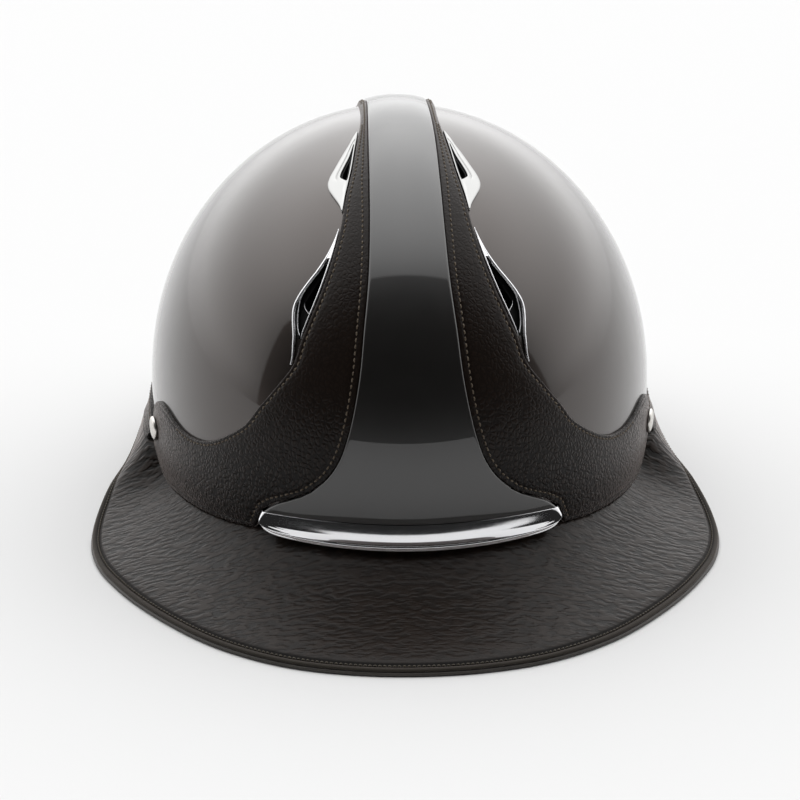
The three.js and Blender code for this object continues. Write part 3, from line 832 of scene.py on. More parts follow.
@dataclass(frozen=True)
class DrawnLeather(Finish):
    """Thick leather drawn over the brim, whose grain lies in wrinkles across the helmet.

    The furrows between the ridges are painted darker, as shade, and so is a band along the stitches, which is
    also rougher.
    The turned edge is smoother, and painted lighter for the light that it reflects. Spans in mm count from
    the brim's edge, which the attribute "inside" measures. Pores are drawn coarser than real ones.
    """

    # Painted shade: the colour of the furrows between the ridges and of the band along the stitches.
    furrow_shade: str = "#0c0907"
    # Painted light: the lighter colour of the turned edge stands in for the light that it reflects.
    edge: str = "#35312c"
    across: float = 1.9  # mm across a ridge
    along: float = 4.9  # mm that a ridge runs
    upward: float = 0.3  # scale of the pattern upwards
    relief: float = 0.2  # mm deep
    ridge: tuple[float, float] = (0.33, 0.66)  # the noise at a furrow's floor and at a ridge's top
    drawn_flat: tuple[float, float] = (0.02, 0.09)  # m aside, between which wrinkles go from slight to full
    slight: float = 0.4  # share of the wrinkles that is left where they are slight
    flat_height: float = 0.75  # height of leather without wrinkles, as a share of a ridge's
    bend_size: float = 7.692  # mm between the swells that bend the wrinkles
    bend: float = 1.8  # mm that they bend them by
    pore: float = 0.909  # mm
    pore_depth: float = 0.18  # as a share of the relief
    wrinkled: tuple[float, float] = (3.2, 5.5)  # mm, the span over which the wrinkles come in
    edge_kept: float = 0.1  # share of them that is left outside it
    # Painted shade: over this span the band along the stitches darkens toward the furrow shade.
    sewn: tuple[float, float] = (4.6, 3.9)  # mm, the span over which the darker sewn band begins
    sewn_roughness: float = 0.65
    turned: tuple[float, float] = (1.9, 1.7)  # mm, the span over which the turned edge begins
    lit: tuple[float, float] = (0.1, 0.9)  # heights between which the leather takes its full colour

    def detail(self, tree: Tree, place: Socket) -> dict[str, Socket]:
        """Wrinkles along the helmet's width, fading at the edge, and pores.

        Args:
            tree: the material's nodes.
            place: Object coordinates, in metres.

        Returns:
            The colour, the roughness and the relief's normal.
        """
        stretch = (self.across / self.along, 1.0, self.upward)
        drawn = add_node(tree, "ShaderNodeMapping", {"Vector": place, "Scale": stretch})
        swells = {"Vector": place, "Scale": 1 / (self.bend_size * MM), "Detail": 1.0}
        sway = add_node(tree, "ShaderNodeTexNoise", swells)
        moved = add_node(tree, "ShaderNodeVectorMath",
                         {0: sway.outputs["Color"], 1: (0.0, self.bend * MM, self.bend * MM),
                          2: drawn.outputs[0]},
                         operation="MULTIPLY_ADD")
        waves = {"Vector": moved.outputs[0], "Scale": 1 / (self.across * MM), "Detail": 1.0, "Roughness": 0.4}
        noise = add_node(tree, "ShaderNodeTexNoise", waves)
        floor, top = self.ridge
        ridges = add_node(tree, "ShaderNodeMapRange",
                          {VALUE: noise.outputs["Fac"], FROM_LOW: floor, FROM_HIGH: top},
                          interpolation_type="SMOOTHSTEP")
        x = add_node(tree, "ShaderNodeSeparateXYZ", {0: place}).outputs[0]
        aside = add_node(tree, "ShaderNodeMath", {0: x}, operation="ABSOLUTE").outputs[0]
        inside = add_node(tree, "ShaderNodeAttribute", attribute_name="inside").outputs["Fac"]
        spans = ((inside, self.wrinkled, self.edge_kept), (aside, self.drawn_flat, self.slight),
                 (inside, self.sewn, 0.0), (inside, self.turned, 0.0))
        kept, drawn_up, sewn, turned = (
            add_node(tree, "ShaderNodeMapRange",
                     {VALUE: value, FROM_LOW: first, FROM_HIGH: last, TO_LOW: least, TO_HIGH: 1.0}).outputs[0]
            for value, (first, last), least in spans
        )
        shown = add_node(tree, "ShaderNodeMath", {0: kept, 1: drawn_up}, operation="MULTIPLY")
        faded = add_node(tree, "ShaderNodeMix",
                         {FACTOR: shown.outputs[0], A: self.flat_height, B: ridges.outputs[0]}).outputs[0]
        pores = add_node(tree, "ShaderNodeTexNoise",
                         {"Vector": place, "Scale": 1 / (self.pore * MM), "Detail": 3.0})
        height = add_node(tree, "ShaderNodeMath", {0: pores.outputs["Fac"], 1: self.pore_depth, 2: faded},
                          operation="MULTIPLY_ADD").outputs[0]
        raised = {"Height": height, "Distance": self.relief * MM, "Strength": 1.0}
        bump = add_node(tree, "ShaderNodeBump", raised)
        # Painted shade in the furrows and along the stitches, and painted light on the turned edge.
        dark, full = self.lit
        light = add_node(tree, "ShaderNodeMapRange", {VALUE: faded, FROM_LOW: dark, FROM_HIGH: full})
        shade = linear(self.furrow_shade)
        for factor, colour in ((light.outputs[0], self.colour), (sewn, self.furrow_shade), (turned, self.edge)):
            mixed = {FACTOR: factor, COLOUR_A: shade, COLOUR_B: linear(colour)}
            shade = add_node(tree, "ShaderNodeMix", mixed, data_type="RGBA").outputs[COLOUR]
        dull = add_node(tree, "ShaderNodeMapRange",
                        {VALUE: sewn, TO_LOW: self.roughness, TO_HIGH: self.sewn_roughness})
        return {"Base Color": shade, "Roughness": dull.outputs[0], "Normal": bump.outputs["Normal"]}


@dataclass(frozen=True)
class Grained(Finish):
    """A plain surface with a fine even grain, as moulding, spinning or cutting leaves it.

    The grain breaks up the gloss. It is drawn as coarse as the render can show.
    """

    grain: float = 0.6  # mm
    relief: float = 0.05  # mm deep
    darkening: float = 0.8  # the darkest shade, as a share of the colour
    shades: tuple[float, float] = (0.3, 0.7)  # the noise at the darkest and at the lightest shade

    def detail(self, tree: Tree, place: Socket) -> dict[str, Socket]:
        """A fine relief and a slight change of shade.

        Args:
            tree: the material's nodes.
            place: Object coordinates, in metres.

        Returns:
            The colour and the relief's normal.
        """
        spots = {"Vector": place, "Scale": 1 / (self.grain * MM), "Detail": 4.0}
        noise = add_node(tree, "ShaderNodeTexNoise", spots).outputs["Fac"]
        raised = {"Height": noise, "Distance": self.relief * MM, "Strength": 1.0}
        bump = add_node(tree, "ShaderNodeBump", raised)
        parts = (int(int(self.colour[k : k + 2], 16) * self.darkening) for k in (1, 3, 5))
        darker = "#" + "".join(f"{part:02x}" for part in parts)
        low, high = self.shades
        light = add_node(tree, "ShaderNodeMapRange", {VALUE: noise, FROM_LOW: low, FROM_HIGH: high})
        shades = {FACTOR: light.outputs[0], COLOUR_A: linear(darker), COLOUR_B: linear(self.colour)}
        colour = add_node(tree, "ShaderNodeMix", shades, data_type="RGBA")
        return {"Base Color": colour.outputs[COLOUR], "Normal": bump.outputs["Normal"]}


class VentMetal(Enum):
    """What a vent's frame is plated with."""

    NICKEL = "nickel"
    WIRE = "wire"


class Finishes:
    """Every finish on the helmet, built once."""

    def __init__(self) -> None:
        """Builds the materials."""
        # Two sprayed lacquers under one clear coat: flakes glow in the first, the second is a dark mirror.
        clear = {"Coat Weight": 1.0, "Coat Roughness": 0.02, "Coat IOR": 1.5}
        self.shell = Lacquer("taupe_metallic_lacquer", "#3e3835", 0.32, 0.9, clear).material()
        self.stripe = Lacquer("dark_gloss_lacquer", "#131110", 0.35, 0.0, clear).material()
        # Plated metals, from the clear mirror of the trim to the soft shine of the wire and the snap's cap.
        self.chrome = Plating("polished_chrome_plating", "#e6e6e8", 0.05, 1.0).material()
        self.vents = {
            VentMetal.NICKEL: Plating("polished_nickel_plating", "#a4a4a3", 0.07, 1.0).material(),
            VentMetal.WIRE: Plating("satin_bright_wire", "#ececee", 0.28, 1.0).material(),
        }
        self.cap = Plating("pearl_nickel_cap", "#d9d6d1", 0.3, 1.0).material()
        # Waxed and oiled leather: little shine straight on, and a warm sheen of fine fibres at its sides.
        nap = {"Sheen Roughness": 0.3, "Sheen Tint": linear("#fff0ea")}
        waxed = {**nap, "Specular IOR Level": 0.15, "Sheen Weight": 0.45}
        self.panel = PebbledLeather("pebbled_calf_leather", "#1d1612", 0.26, sockets=waxed).material()
        oiled = {**nap, "Specular IOR Level": 0.13, "Sheen Weight": 0.55}
        self.brim = DrawnLeather("drawn_brim_leather", "#211914", 0.27, sockets=oiled).material()
        # Split leather below the brim, dull and even, and moulded plastic and bead foam that stay black.
        self.lining = Grained("smooth_split_leather", "#45413d", 0.5, grain=0.9).material()
        self.plastic = Grained("moulded_black_abs", "#0a0a0b", 0.45, grain=0.5, relief=0.02,
                               sockets={"Specular IOR Level": 0.15}).material()
        self.foam = Grained("black_bead_foam", "#101010", 0.85, grain=3.5, relief=0.5).material()
        # Waxed thread, a dull line with a light edge.
        self.thread = Grained("waxed_polyester_thread", "#62533f", 0.6, grain=0.3, relief=0.08,
                              sockets={"Sheen Weight": 0.2}).material()
        self.dark_thread = Grained("dark_waxed_thread", "#5a5245", 0.5, grain=0.3, relief=0.08).material()


# Stitches


@dataclass(frozen=True)
class StitchLine:
    """A line that a row of stitches follows, with the leather's normals along it."""

    points: Array
    normals: Array


class StitchTree:
    """The node tree that lays a row of stitches along a line."""

    SEED = 7
    LOOSE = (0.03, 0.03, 0.07)  # radians that a stitch may be turned off its line
    BEND_STEPS = 5
    THREAD_SIDES = 6

    def __init__(self) -> None:
        """Builds the tree."""
        self.tree = bpy.data.node_groups.new("stitch_row", "GeometryNodeTree")
        self.tree.is_modifier = True
        self.sockets: dict[str, str] = {}
        self._socket("Geometry", "NodeSocketGeometry")
        for name in ("Pitch", "Length", "Thread", "Height", "Sink"):
            self._socket(name, "NodeSocketFloat")
        self._socket("Material", "NodeSocketMaterial")
        self.tree.interface.new_socket("Geometry", in_out="OUTPUT", socket_type="NodeSocketGeometry")
        self._wire()

    def _socket(self, name: str, kind: str) -> None:
        """Adds one input and keeps its identifier."""
        made = self.tree.interface.new_socket(name, in_out="INPUT", socket_type=kind)
        self.sockets[name] = made.identifier

    def _wire(self) -> None:
        """Joins the nodes: line to points, a bent thread at each, turned to lie along the leather."""
        tree = self.tree
        given = add_node(tree, "NodeGroupInput").outputs
        line = add_node(tree, "GeometryNodeMeshToCurve", {"Mesh": given["Geometry"]})
        points = add_node(tree, "GeometryNodeResampleCurve",
                          {"Curve": line.outputs["Curve"], "Length": given["Pitch"]}, mode="LENGTH")
        back, front, depth = (
            add_node(tree, "ShaderNodeMath", {0: given[name], 1: share}, operation="MULTIPLY").outputs[0]
            for name, share in (("Length", -0.5), ("Length", 0.5), ("Sink", -1.0))
        )
        start, end = (add_node(tree, "ShaderNodeCombineXYZ", {"X": x, "Z": depth}).outputs[0]
                      for x in (back, front))
        crest = add_node(tree, "ShaderNodeCombineXYZ", {"Z": given["Height"]}).outputs[0]
        bend = add_node(tree, "GeometryNodeCurveQuadraticBezier",
                        {"Resolution": self.BEND_STEPS, "Start": start, "Middle": crest, "End": end})
        section = add_node(tree, "GeometryNodeCurvePrimitiveCircle",
                           {"Resolution": self.THREAD_SIDES, "Radius": given["Thread"]})
        thread = add_node(tree, "GeometryNodeCurveToMesh",
                          {"Curve": bend.outputs[0], "Profile Curve": section.outputs[0], "Fill Caps": True})
        along = add_node(tree, "GeometryNodeInputTangent").outputs[0]
        upward = add_node(tree, "GeometryNodeInputNamedAttribute", {"Name": "upward"},
                          data_type="FLOAT_VECTOR").outputs["Attribute"]
        turned = add_node(tree, "FunctionNodeAlignRotationToVector", {"Vector": along}, axis="X").outputs[0]
        level = add_node(tree, "FunctionNodeAlignRotationToVector", {"Rotation": turned, "Vector": upward},
                         axis="Z", pivot_axis="X")
        loose = add_node(tree, "FunctionNodeRandomValue",
                         {0: tuple(-most for most in self.LOOSE), 1: self.LOOSE, "Seed": self.SEED},
                         data_type="FLOAT_VECTOR")
        nudge = add_node(tree, "FunctionNodeEulerToRotation", {0: loose.outputs[0]})
        final = add_node(tree, "FunctionNodeRotateRotation",
                         {"Rotation": level.outputs[0], "Rotate By": nudge.outputs[0]},
                         rotation_space="LOCAL").outputs[0]
        placed = add_node(tree, "GeometryNodeInstanceOnPoints",
                          {"Points": points.outputs[0], "Instance": thread.outputs[0], "Rotation": final})
        real = add_node(tree, "GeometryNodeRealizeInstances", {0: placed.outputs[0]})
        dressed = add_node(tree, "GeometryNodeSetMaterial",
                           {"Geometry": real.outputs[0], "Material": given["Material"]})
        add_node(tree, "NodeGroupOutput", {0: dressed.outputs[0]})


@dataclass(frozen=True)
class Stitching:
    """Rows of lock stitches in waxed thread, about as thick and as close as on the real helmet."""

    tree: StitchTree
    thread: float = 0.34  # mm, the thread's radius
    length: float = 0.48  # share of the pitch that a stitch shows
    height: float = 0.55  # mm, how far the bend's control point stands over the line
    sink: float = 0.35  # mm, how far its ends go down

    def build(self, name: str, lines: Sequence[StitchLine], pitch: float, material: Material,
              side: Side = Side.RIGHT) -> Piece:
        """Sews rows of stitches.

        Args:
            name: the piece's name.
            lines: the lines to follow, worked out for the right half.
            pitch: mm from stitch to stitch.
            material: the thread's finish.
            side: the half that they are for.

        Returns:
            One plain mesh with every stitch.
        """
        points, normals, edges = [], [], []
        for line in lines:
            first = sum(len(p) for p in points)
            points.append(side.turned(line.points))
            normals.append(side.turned(line.normals))
            edges += [(first + k, first + k + 1) for k in range(len(line.points) - 1)]
        mesh = bpy.data.meshes.new(name)
        mesh.from_pydata(((np.vstack(points) + DOME_PLACE) * MM).tolist(), edges, [])
        upward = mesh.attributes.new("upward", "FLOAT_VECTOR", "POINT")
        upward.data.foreach_set("vector", np.vstack(normals).astype(np.float32).ravel())
        source = bpy.data.objects.new(name, mesh)
        bpy.context.scene.collection.objects.link(source)
        modifier = source.modifiers.new("stitches", "NODES")
        modifier.node_group = self.tree.tree
        sizes = {"Pitch": pitch, "Length": pitch * self.length, "Thread": self.thread, "Height": self.height,
                 "Sink": self.sink}
        for key, value in sizes.items():
            modifier[self.tree.sockets[key]] = value * MM
        modifier[self.tree.sockets["Material"]] = material
        made = frozen(source)
        made.data.shade_smooth()
        return made


# The dome's shell


@dataclass(frozen=True)
class Shell:
    """The hard lacquered shell and the foam inside it, cut out for the vents."""

    outlines: Outlines
    skin: float = 2.6
    wall: float = 24
    arc: float = 190.0  # mm from the rim to the pole
    rim_radius: float = 1.1
    rim_rings: tuple[float, ...] = (0, 0.15, 0.4, 0.75, 1.2, 1.8)  # from the rim up, as shares of its radius
    sides: int = 288
    ring_count: int = 104
    foam_gap: float = 0.15  # between the skin and the foam
    foam_rim_radius: float = 3.0
    foam_sides: int = 96
    foam_ring_count: int = 40
    on_dome: float = 2e-4  # how far off the dome's equation the outer surface's points may be
    facing: float = 0.6  # least cosine between the mesh's normal and the dome's there

    def _rings(self, shares: Array, lift: Array | float, sides: int, base: float) -> Array:
        """Rings of points from the rim up.

        Args:
            shares: of the way from the rim to the pole.
            lift: off the dome at each ring.
            sides: points in a ring.
            base: the lift at which the rim's level is taken.

        Returns:
            Rings by points.
        """
        angle = np.arange(sides) * 360 / sides
        turn = np.minimum(angle, 360 - angle)
        foot = self.outlines.dome.at_level(turn, self.outlines.rim_level(turn), base)
        low = np.degrees(np.arcsin(foot[:, 2]))
        rise = lerp(low[None, :], 90, shares[:, None])
        lifts = np.broadcast_to(np.asarray(lift, float).reshape(-1, 1), rise.shape)
        points = self.outlines.dome.point(around(angle[None, :], rise), lifts)
        points[..., 2] = np.maximum(points[..., 2], 0.0)
        return points

    def _bowl(self, top: float, bottom: float, sides: int, count: int, radius: float) -> Body:
        """A bowl between two lifts.

        Args:
            top: the lift of its outer surface.
            bottom: the lift of its inner one.
            sides: points in a ring.
            count: rings above the rim's rounding.
            radius: of the rim.

        Returns:
            The points and the faces.
        """
        near = np.array(self.rim_rings) * radius / self.arc
        shares = np.concatenate((near, np.linspace(near[-1], 1, count)[1:]))
        drop = rounding(shares * self.arc, radius)
        outer = self._rings(shares, top - drop, sides, top)[::-1]
        inner = self._rings(shares, bottom + drop, sides, bottom)
        return bowl(outer, inner)

    def build(self, lacquer: Material, foam: Material, vents: Sequence["Vent"]) -> None:
        """Makes the shell and the foam.

        Args:
            lacquer: the shell's finish.
            foam: the foam's finish.
            vents: the vents that are cut out of both.
        """
        outside = self._bowl(0, -self.skin, self.sides, self.ring_count, self.rim_radius)
        inside = self._bowl(-self.skin - self.foam_gap, -self.wall, self.foam_sides, self.foam_ring_count,
                            self.foam_rim_radius)
        for name, body, finish in (("shell_skin", outside, lacquer), ("shell_foam", inside, foam)):
            piece = make_object(name, *body, finish)
            piece = cut(piece, [vent.cutter(side) for vent in vents for side in Side])
            if body is outside:
                self._polish(piece.data)
                place_piece(piece, ["shell"])
            else:
                place_piece(piece, ["shell"])

    def _polish(self, mesh: bpy.types.Mesh) -> None:
        """Gives the outer surface the dome's own normals, so that its reflections run smoothly.

        Args:
            mesh: the finished skin.
        """
        mesh.shade_smooth()
        mesh.set_sharp_from_angle(angle=math.radians(SHARP))
        points = np.empty(len(mesh.vertices) * 3)
        mesh.vertices.foreach_get("co", points)
        normals, off = self.outlines.dome.normal_near(points.reshape(-1, 3) / MM - DOME_PLACE)
        corner = np.empty(len(mesh.loops) * 3)
        mesh.corner_normals.foreach_get("vector", corner)
        corner = corner.reshape(-1, 3)
        at = np.empty(len(mesh.loops), int)
        mesh.loops.foreach_get("vertex_index", at)
        agreeing = np.einsum("ij,ij->i", corner, normals[at]) > self.facing
        outside = (off[at] < self.on_dome) & agreeing
        corner[outside] = normals[at][outside]
        mesh.normals_split_custom_set(corner.tolist())


# Vents

BEAD_SIDES = 12


def beading(centres: Array, normals: Array, half_widths: Array, heights: Array) -> Body:
    """A wire with an oval section along a line.

    Args:
        centres: the points that it passes through.
        normals: the direction away from the dome at each.
        half_widths: its half width beside the line, in mm.
        heights: its half height along the normal.

    Returns:
        The points and the faces, closed at both ends.
    """
    along = unit(np.gradient(centres, axis=0))
    aside = unit(np.cross(along, normals))
    outward = np.cross(aside, along)
    angle = (np.arange(BEAD_SIDES) + 0.5) * 2 * math.pi / BEAD_SIDES
    loops = (centres[:, None] + aside[:, None] * (half_widths[:, None] * np.cos(angle))[..., None]
             + outward[:, None] * (heights[:, None] * np.sin(angle))[..., None])
    return rings(loops, closed=False)


def joined(parts: Sequence[Body]) -> Body:
    """Several closed bodies as one.

    Args:
        parts: the points and the faces of each.

    Returns:
        The points and the faces of all.
    """
    points, faces = [], []
    for some, quads in parts:
        first = sum(len(p) for p in points)
        points.append(some)
        faces += [[first + k for k in quad] for quad in quads]
    return np.vstack(points), faces


@dataclass(frozen=True)
class Vent:
    """A vent beside the leather's window edge, with a pocket in the shell that a black cup lines.

    Widths are shares of the widest vent, from the window edge outwards.
    """

    name: str
    outlines: Outlines
    far: Column
    slot_far: Column
    slot_near: float
    widest: float = 9.2
    frame: float = 1.2
    depth: float = 5.0
    points: int = 56
    tip: float = 0.4  # no inset takes more of a narrow slot than this share on each side
    run: float = 200.0  # mm of the dome's length that a whole unit of place covers
    sharp: float = 50.0
    plating: VentMetal = VentMetal.NICKEL

    def out(self, share: Array | float) -> Array | float:
        """Millimetres from the window edge for a share of the widest vent."""
        return GAP + share * self.widest

    def _loop(self, reach: tuple[float, float], near: Array | float, far: Array | float,
              lift: Array | float) -> Array:
        """A closed loop: down the far side and back up the near one, next to the leather.

        Args:
            reach: the first and last place.
            near: mm from the window edge on the near side, for each point down that side.
            far: mm from it on the far side.
            lift: off the dome.

        Returns:
            The loop's points.
        """
        place = np.linspace(*reach, self.points)
        near, far = (np.broadcast_to(v, place.shape) for v in (near, far))
        out = np.concatenate((far, near[::-1]))
        direction = self.outlines.window(np.concatenate((place, place[::-1])), out)
        return self.outlines.dome.point(direction, lift)

    def opening(self, far: Column, near: float, inset: float, lift: float) -> Array:
        """The loop of an opening, made smaller on every side by an inset.

        Args:
            far: the opening's far side.
            near: the share of its near side.
            inset: in mm.
            lift: off the dome.

        Returns:
            The loop's points.
        """
        margin = inset / self.run
        reach = (far.places[-1] - margin, far.places[0] + margin)
        place = np.linspace(*reach, self.points)
        side = np.minimum(inset, self.tip * (far(place) - near) * self.widest)
        return self._loop(reach, self.out(near) + side, self.out(far(place)) - side, lift)

    def cutter(self, side: Side) -> Piece:
        """What the vent takes out of the shell."""
        points, faces = rings(self.cut_loops(), closed=False)
        return make_object(f"cutter_{self.name}_{side.value}", side.turned(points), faces, None)

    def cut_loops(self) -> Array:
        """The loops of the pocket that is cut into the shell."""
        lifts = (2 * SEAT, -self.depth)
        return np.array([self.opening(self.slot_far, self.slot_near, 0.0, lift) for lift in lifts])

    def metal(self) -> Body:
        """The chrome part's points and faces."""
        raise NotImplementedError

    def cup(self) -> Body:
        """The black cup's points and faces."""
        raise NotImplementedError

    def build(self, finishes: Finishes, side: Side) -> None:
        """Makes the chrome part and the cup.

        Args:
            finishes: the helmet's finishes.
            side: the half that it is for.
        """
        points, faces = self.metal()
        metal = make_object(f"vent_{self.name}_{side.value}_{self.plating.value}", side.turned(points), faces,
                            finishes.vents[self.plating], self.sharp)
        place_piece(metal, [f"vent_frame_{self.name}_{side.value}"])
        points, faces = self.cup()
        cup = make_object(f"vent_cup_{self.name}_{side.value}", side.turned(points), faces, finishes.plastic)
        place_piece(cup, [f"vent_insert_{self.name}_{side.value}"])


@dataclass(frozen=True)
class LeafVent(Vent):
    """The upper vent: a flat chrome leaf around a blind slot, with a fine groove along its outer side.

    The face runs from the outline to the slot in rows of mm inwards, the most that this may be as a share
    of the width there, and the lift as a share of the frame's height. The rim rows count from the slot.
    """

    face: tuple = (
        (0.0, 0.0, 0.0), (0.0, 0.0, 0.4), (0.07, 0.05, 0.66), (0.2, 0.1, 0.86), (0.45, 0.17, 0.98),
        (0.9, 0.26, 1.02), (1.6, 0.42, 1.02),
        *((9.0, most, 1.0) for most in (0.54, 0.575, 0.6, 0.62, 0.64, 0.665)),
    )
    rim: tuple = (
        (0.5, 0.3, 1.0), (0.25, 0.2, 0.97), (0.08, 0.08, 0.86), (0.0, 0.0, 0.65), (0.0001, 0.0001, 0.0),
    )
    underside: float = 0.4  # its lift, as a share of the seat
    evening: float = 0.12  # how far the slot's points are spread evenly, and not opposite the outline's
    groove_at: float = 0.62  # share of the way from the outline to the slot
    groove_width: float = 0.09  # share of that way
    groove_depth: float = 0.35
    groove_room: tuple[float, float] = (1.2, 2.2)  # mm from outline to slot, where the groove comes in
    groove_end: tuple[float, float] = (-0.232, -0.255)
    tray_edge: float = 0.5  # lift of the black tray's edge, and its wall's thickness
    tray_play: float = 0.2  # between the tray and the pocket
    tray_floor: float = 1.0  # its thickness, and how far the bottom stays inside the pocket

    def metal(self) -> Body:
        """The chrome leaf.

        Returns:
            The points and the faces.
        """
        first, last = self.far.places[0], self.far.places[-1]
        slot_first, slot_last = self.slot_far.places[0], self.slot_far.places[-1]
        place = np.linspace(last, first, self.points)
        outer = self._loop((last, first), GAP, self.out(self.far(place)), 0.0)
        share = np.linspace(0, 1, self.points)
        within = np.clip((slot_last - place) / (slot_last - slot_first), 0, 1)
        slot_place = slot_last - (slot_last - slot_first) * (
            (1 - self.evening) * within + self.evening * share)
        near_side = np.full(self.points, self.out(self.slot_near))
        out = np.concatenate((self.out(self.slot_far(slot_place)), near_side))
        direction = self.outlines.window(np.concatenate((slot_place, slot_place[::-1])), out)
        slot = self.outlines.dome.point(direction)
        gap = np.linalg.norm(slot - outer, axis=-1)
        grooved = (1 - smoothstep(-place, -self.groove_end[0], -self.groove_end[1])) * self.groove_depth
        grooved = np.concatenate((grooved, np.zeros(self.points))) * smoothstep(gap, *self.groove_room)
        ways = [(np.minimum(inward, most * gap) / gap, height) for inward, most, height in self.face]
        ways += [(1 - np.minimum(inward, most * gap) / gap, height) for inward, most, height in self.rim]
        loops = []
        for way, height in ways:
            foot = lerp(outer, slot, way[:, None])
            normal, _ = self.outlines.dome.normal_near(foot)
            cut_in = groove(way - self.groove_at, self.groove_width, 1.0) * (height > 0)
            lift = SEAT * self.underside + self.frame * height - grooved * cut_in
            loops.append(foot + normal * lift[:, None])
        return rings(np.array(loops), closed=True)

    def cup(self) -> Body:
        """The black cup: a blind tray.

        Returns:
            The points and the faces.
        """
        bottom, edge = GAP - self.depth, self.tray_edge
        floor = bottom + self.tray_floor
        inner = self.tray_play + edge
        rows = ((self.tray_floor, bottom), (self.tray_play, bottom), (self.tray_play, edge), (inner, edge),
                (inner, floor), (self.tray_floor + 0.3, floor))  # inset and lift
        loops = [self.opening(self.slot_far, self.slot_near, *row) for row in rows]
        return rings(np.array(loops), closed=False)


@dataclass(frozen=True)
class WireVent(Vent):
    """The lower vent: two chrome beads that meet in a wedge, and fine wires around a hole in the shell."""

    plating: VentMetal = VentMetal.WIRE
    mouth_far: Column = Column.of(
        (-0.46, 0.26), (-0.47, 0.35), (-0.5075, 0.7), (-0.5267, 0.79), (-0.5487, 0.715), (-0.5737, 0.56),
        (-0.5964, 0.36), (-0.614, 0.14),
    )
    hole_far: Column = Column.of(
        (-0.465, 0.2), (-0.48, 0.3), (-0.5, 0.45), (-0.5244, 0.59), (-0.536, 0.66), (-0.541, 0.64),
        (-0.5518, 0.5), (-0.5654, 0.21),
    )
    far_bead: Column = Column.of(
        (-0.378, 0.2), (-0.4, 0.3), (-0.43, 0.54), (-0.47, 0.66), (-0.62, 0.66), (-0.65, 0.52), (-0.68, 0.28),
    )
    near_bead: Column = Column.of(
        (-0.378, 0.2), (-0.4, 0.3), (-0.45, 0.4), (-0.59, 0.42), (-0.608, 0.32), (-0.621, 0.12),
    )
    far_run: tuple[float, float, int] = (-0.379, -0.679, 110)  # first place, last place and points
    near_run: tuple[float, float, int] = (-0.379, -0.621, 90)
    near_play: float = 0.08  # between the near bead and the leather
    bead_lift: float = 0.75
    wire_round: tuple[float, float] = (0.5, 0.1)  # the most of a half width that counts up, and what is added
    wedge_run: tuple[float, float, int] = (-0.383, -0.447, 24)
    wedge_columns: int = 7
    wedge_play: tuple[float, float] = (0.3, 0.5)  # from its sides to the leather and to the far outline
    wedge_least: float = 0.05
    wedge_lift: float = 1.15
    wedge_doming: float = 0.1
    wedge_foot: float = 0.2
    mouth_points: int = 60
    mouth_wire: tuple[float, float] = (0.7, 0.2)  # its lift and half width
    hole_run: tuple[float, float, int] = (-0.537, -0.565, 24)
    hole_wire: tuple[float, float] = (-1.25, 0.13)
    hole_near: float = 0.03  # how much further from the leather the hole begins than the slot
    hole_play: float = 0.15  # mm that the hole through the shell is wider than the cup's
    hole_depth: float = 30.0
    collar_lift: float = 0.55
    collar: tuple[float, ...] = (0.02, 0.1, -1.2, -1.6)  # the mouth's start, inset and two inner lifts

    def _wire(self, place: Array, out: Array, lift: float, half: Array | float) -> Body:
        """A wire along the dome.

        Args:
            place: along the window edge.
            out: mm from it.
            lift: of the wire's middle.
            half: its half width.

        Returns:
            The points and the faces.
        """
        direction = self.outlines.window(place, out)
        half = np.broadcast_to(half, place.shape)
        dome = self.outlines.dome
        most, added = self.wire_round
        return beading(dome.point(direction, lift), dome.normal(direction), half,
                       np.minimum(half, most) + added)

    def metal(self) -> Body:
        """The beads, the wedge and the wires.

        Returns:
            The points and the faces.
        """
        place = np.linspace(*self.far_run)
        half = self.far_bead(place)
        far = self._wire(place, self.out(self.far(place)) - half, self.bead_lift, half)
        place = np.linspace(*self.near_run)
        half = self.near_bead(place)
        near = self._wire(place, GAP + self.near_play + half, self.bead_lift, half)
        return joined((far, near, self._wedge(), *self._wires()))

    def _wedge(self) -> Body:
        """The plate between the beads, above the slot.

        Returns:
            The points and the faces.
        """
        place = np.linspace(*self.wedge_run)[:, None]
        share = np.linspace(0.0, 1.0, self.wedge_columns)[None, :]
        low = GAP + self.wedge_play[0]
        high = np.maximum(self.out(self.far(place)) - self.wedge_play[1], low + self.wedge_least)
        out = lerp(low, high, share)
        direction = self.outlines.window(np.broadcast_to(place, out.shape), out)
        dome = self.outlines.dome
        lift = self.wedge_lift + self.wedge_doming * np.sin(share * math.pi)
        return slab(dome.point(direction, lift), dome.point(direction, self.wedge_foot))

    def _wires(self) -> list[Body]:
        """The wire around the mouth and the shorter one on the hole's lower rim.

        Returns:
            The points and the faces of each.
        """
        mouth = np.linspace(self.mouth_far.places[-1], self.mouth_far.places[0], self.mouth_points)
        hole = np.linspace(*self.hole_run)
        return [self._wire(place, self.out(far(place)), *wire) for place, far, wire in (
            (mouth, self.mouth_far, self.mouth_wire), (hole, self.hole_far, self.hole_wire))]

    def _hole(self, inset: float, lift: float) -> Array:
        """The loop of the hole."""
        return self.opening(self.hole_far, self.slot_near + self.hole_near, inset, lift)

    def cut_loops(self) -> Array:
        """The loops of the pocket and of the hole below it."""
        hole = [self._hole(-self.hole_play, lift) for lift in (-self.depth, -self.hole_depth)]
        return np.vstack((super().cut_loops(), hole))

    def cup(self) -> Body:
        """The black cup: a collar around the mouth that runs down to the hole.

        Returns:
            The points and the faces.
        """
        bottom, top = GAP - self.depth, self.collar_lift
        start, inset, mouth_foot, hole_top = self.collar
        slot = [self.opening(self.slot_far, self.slot_near, 0.2, lift) for lift in (bottom, top)]
        mouth = [self.opening(self.mouth_far, self.slot_near + start, inset, lift)
                 for lift in (top, mouth_foot)]
        loops = slot + mouth + [self._hole(0.0, hole_top), self._hole(0.0, bottom)]
        return rings(np.array(loops), closed=True)


# Stripe and trim


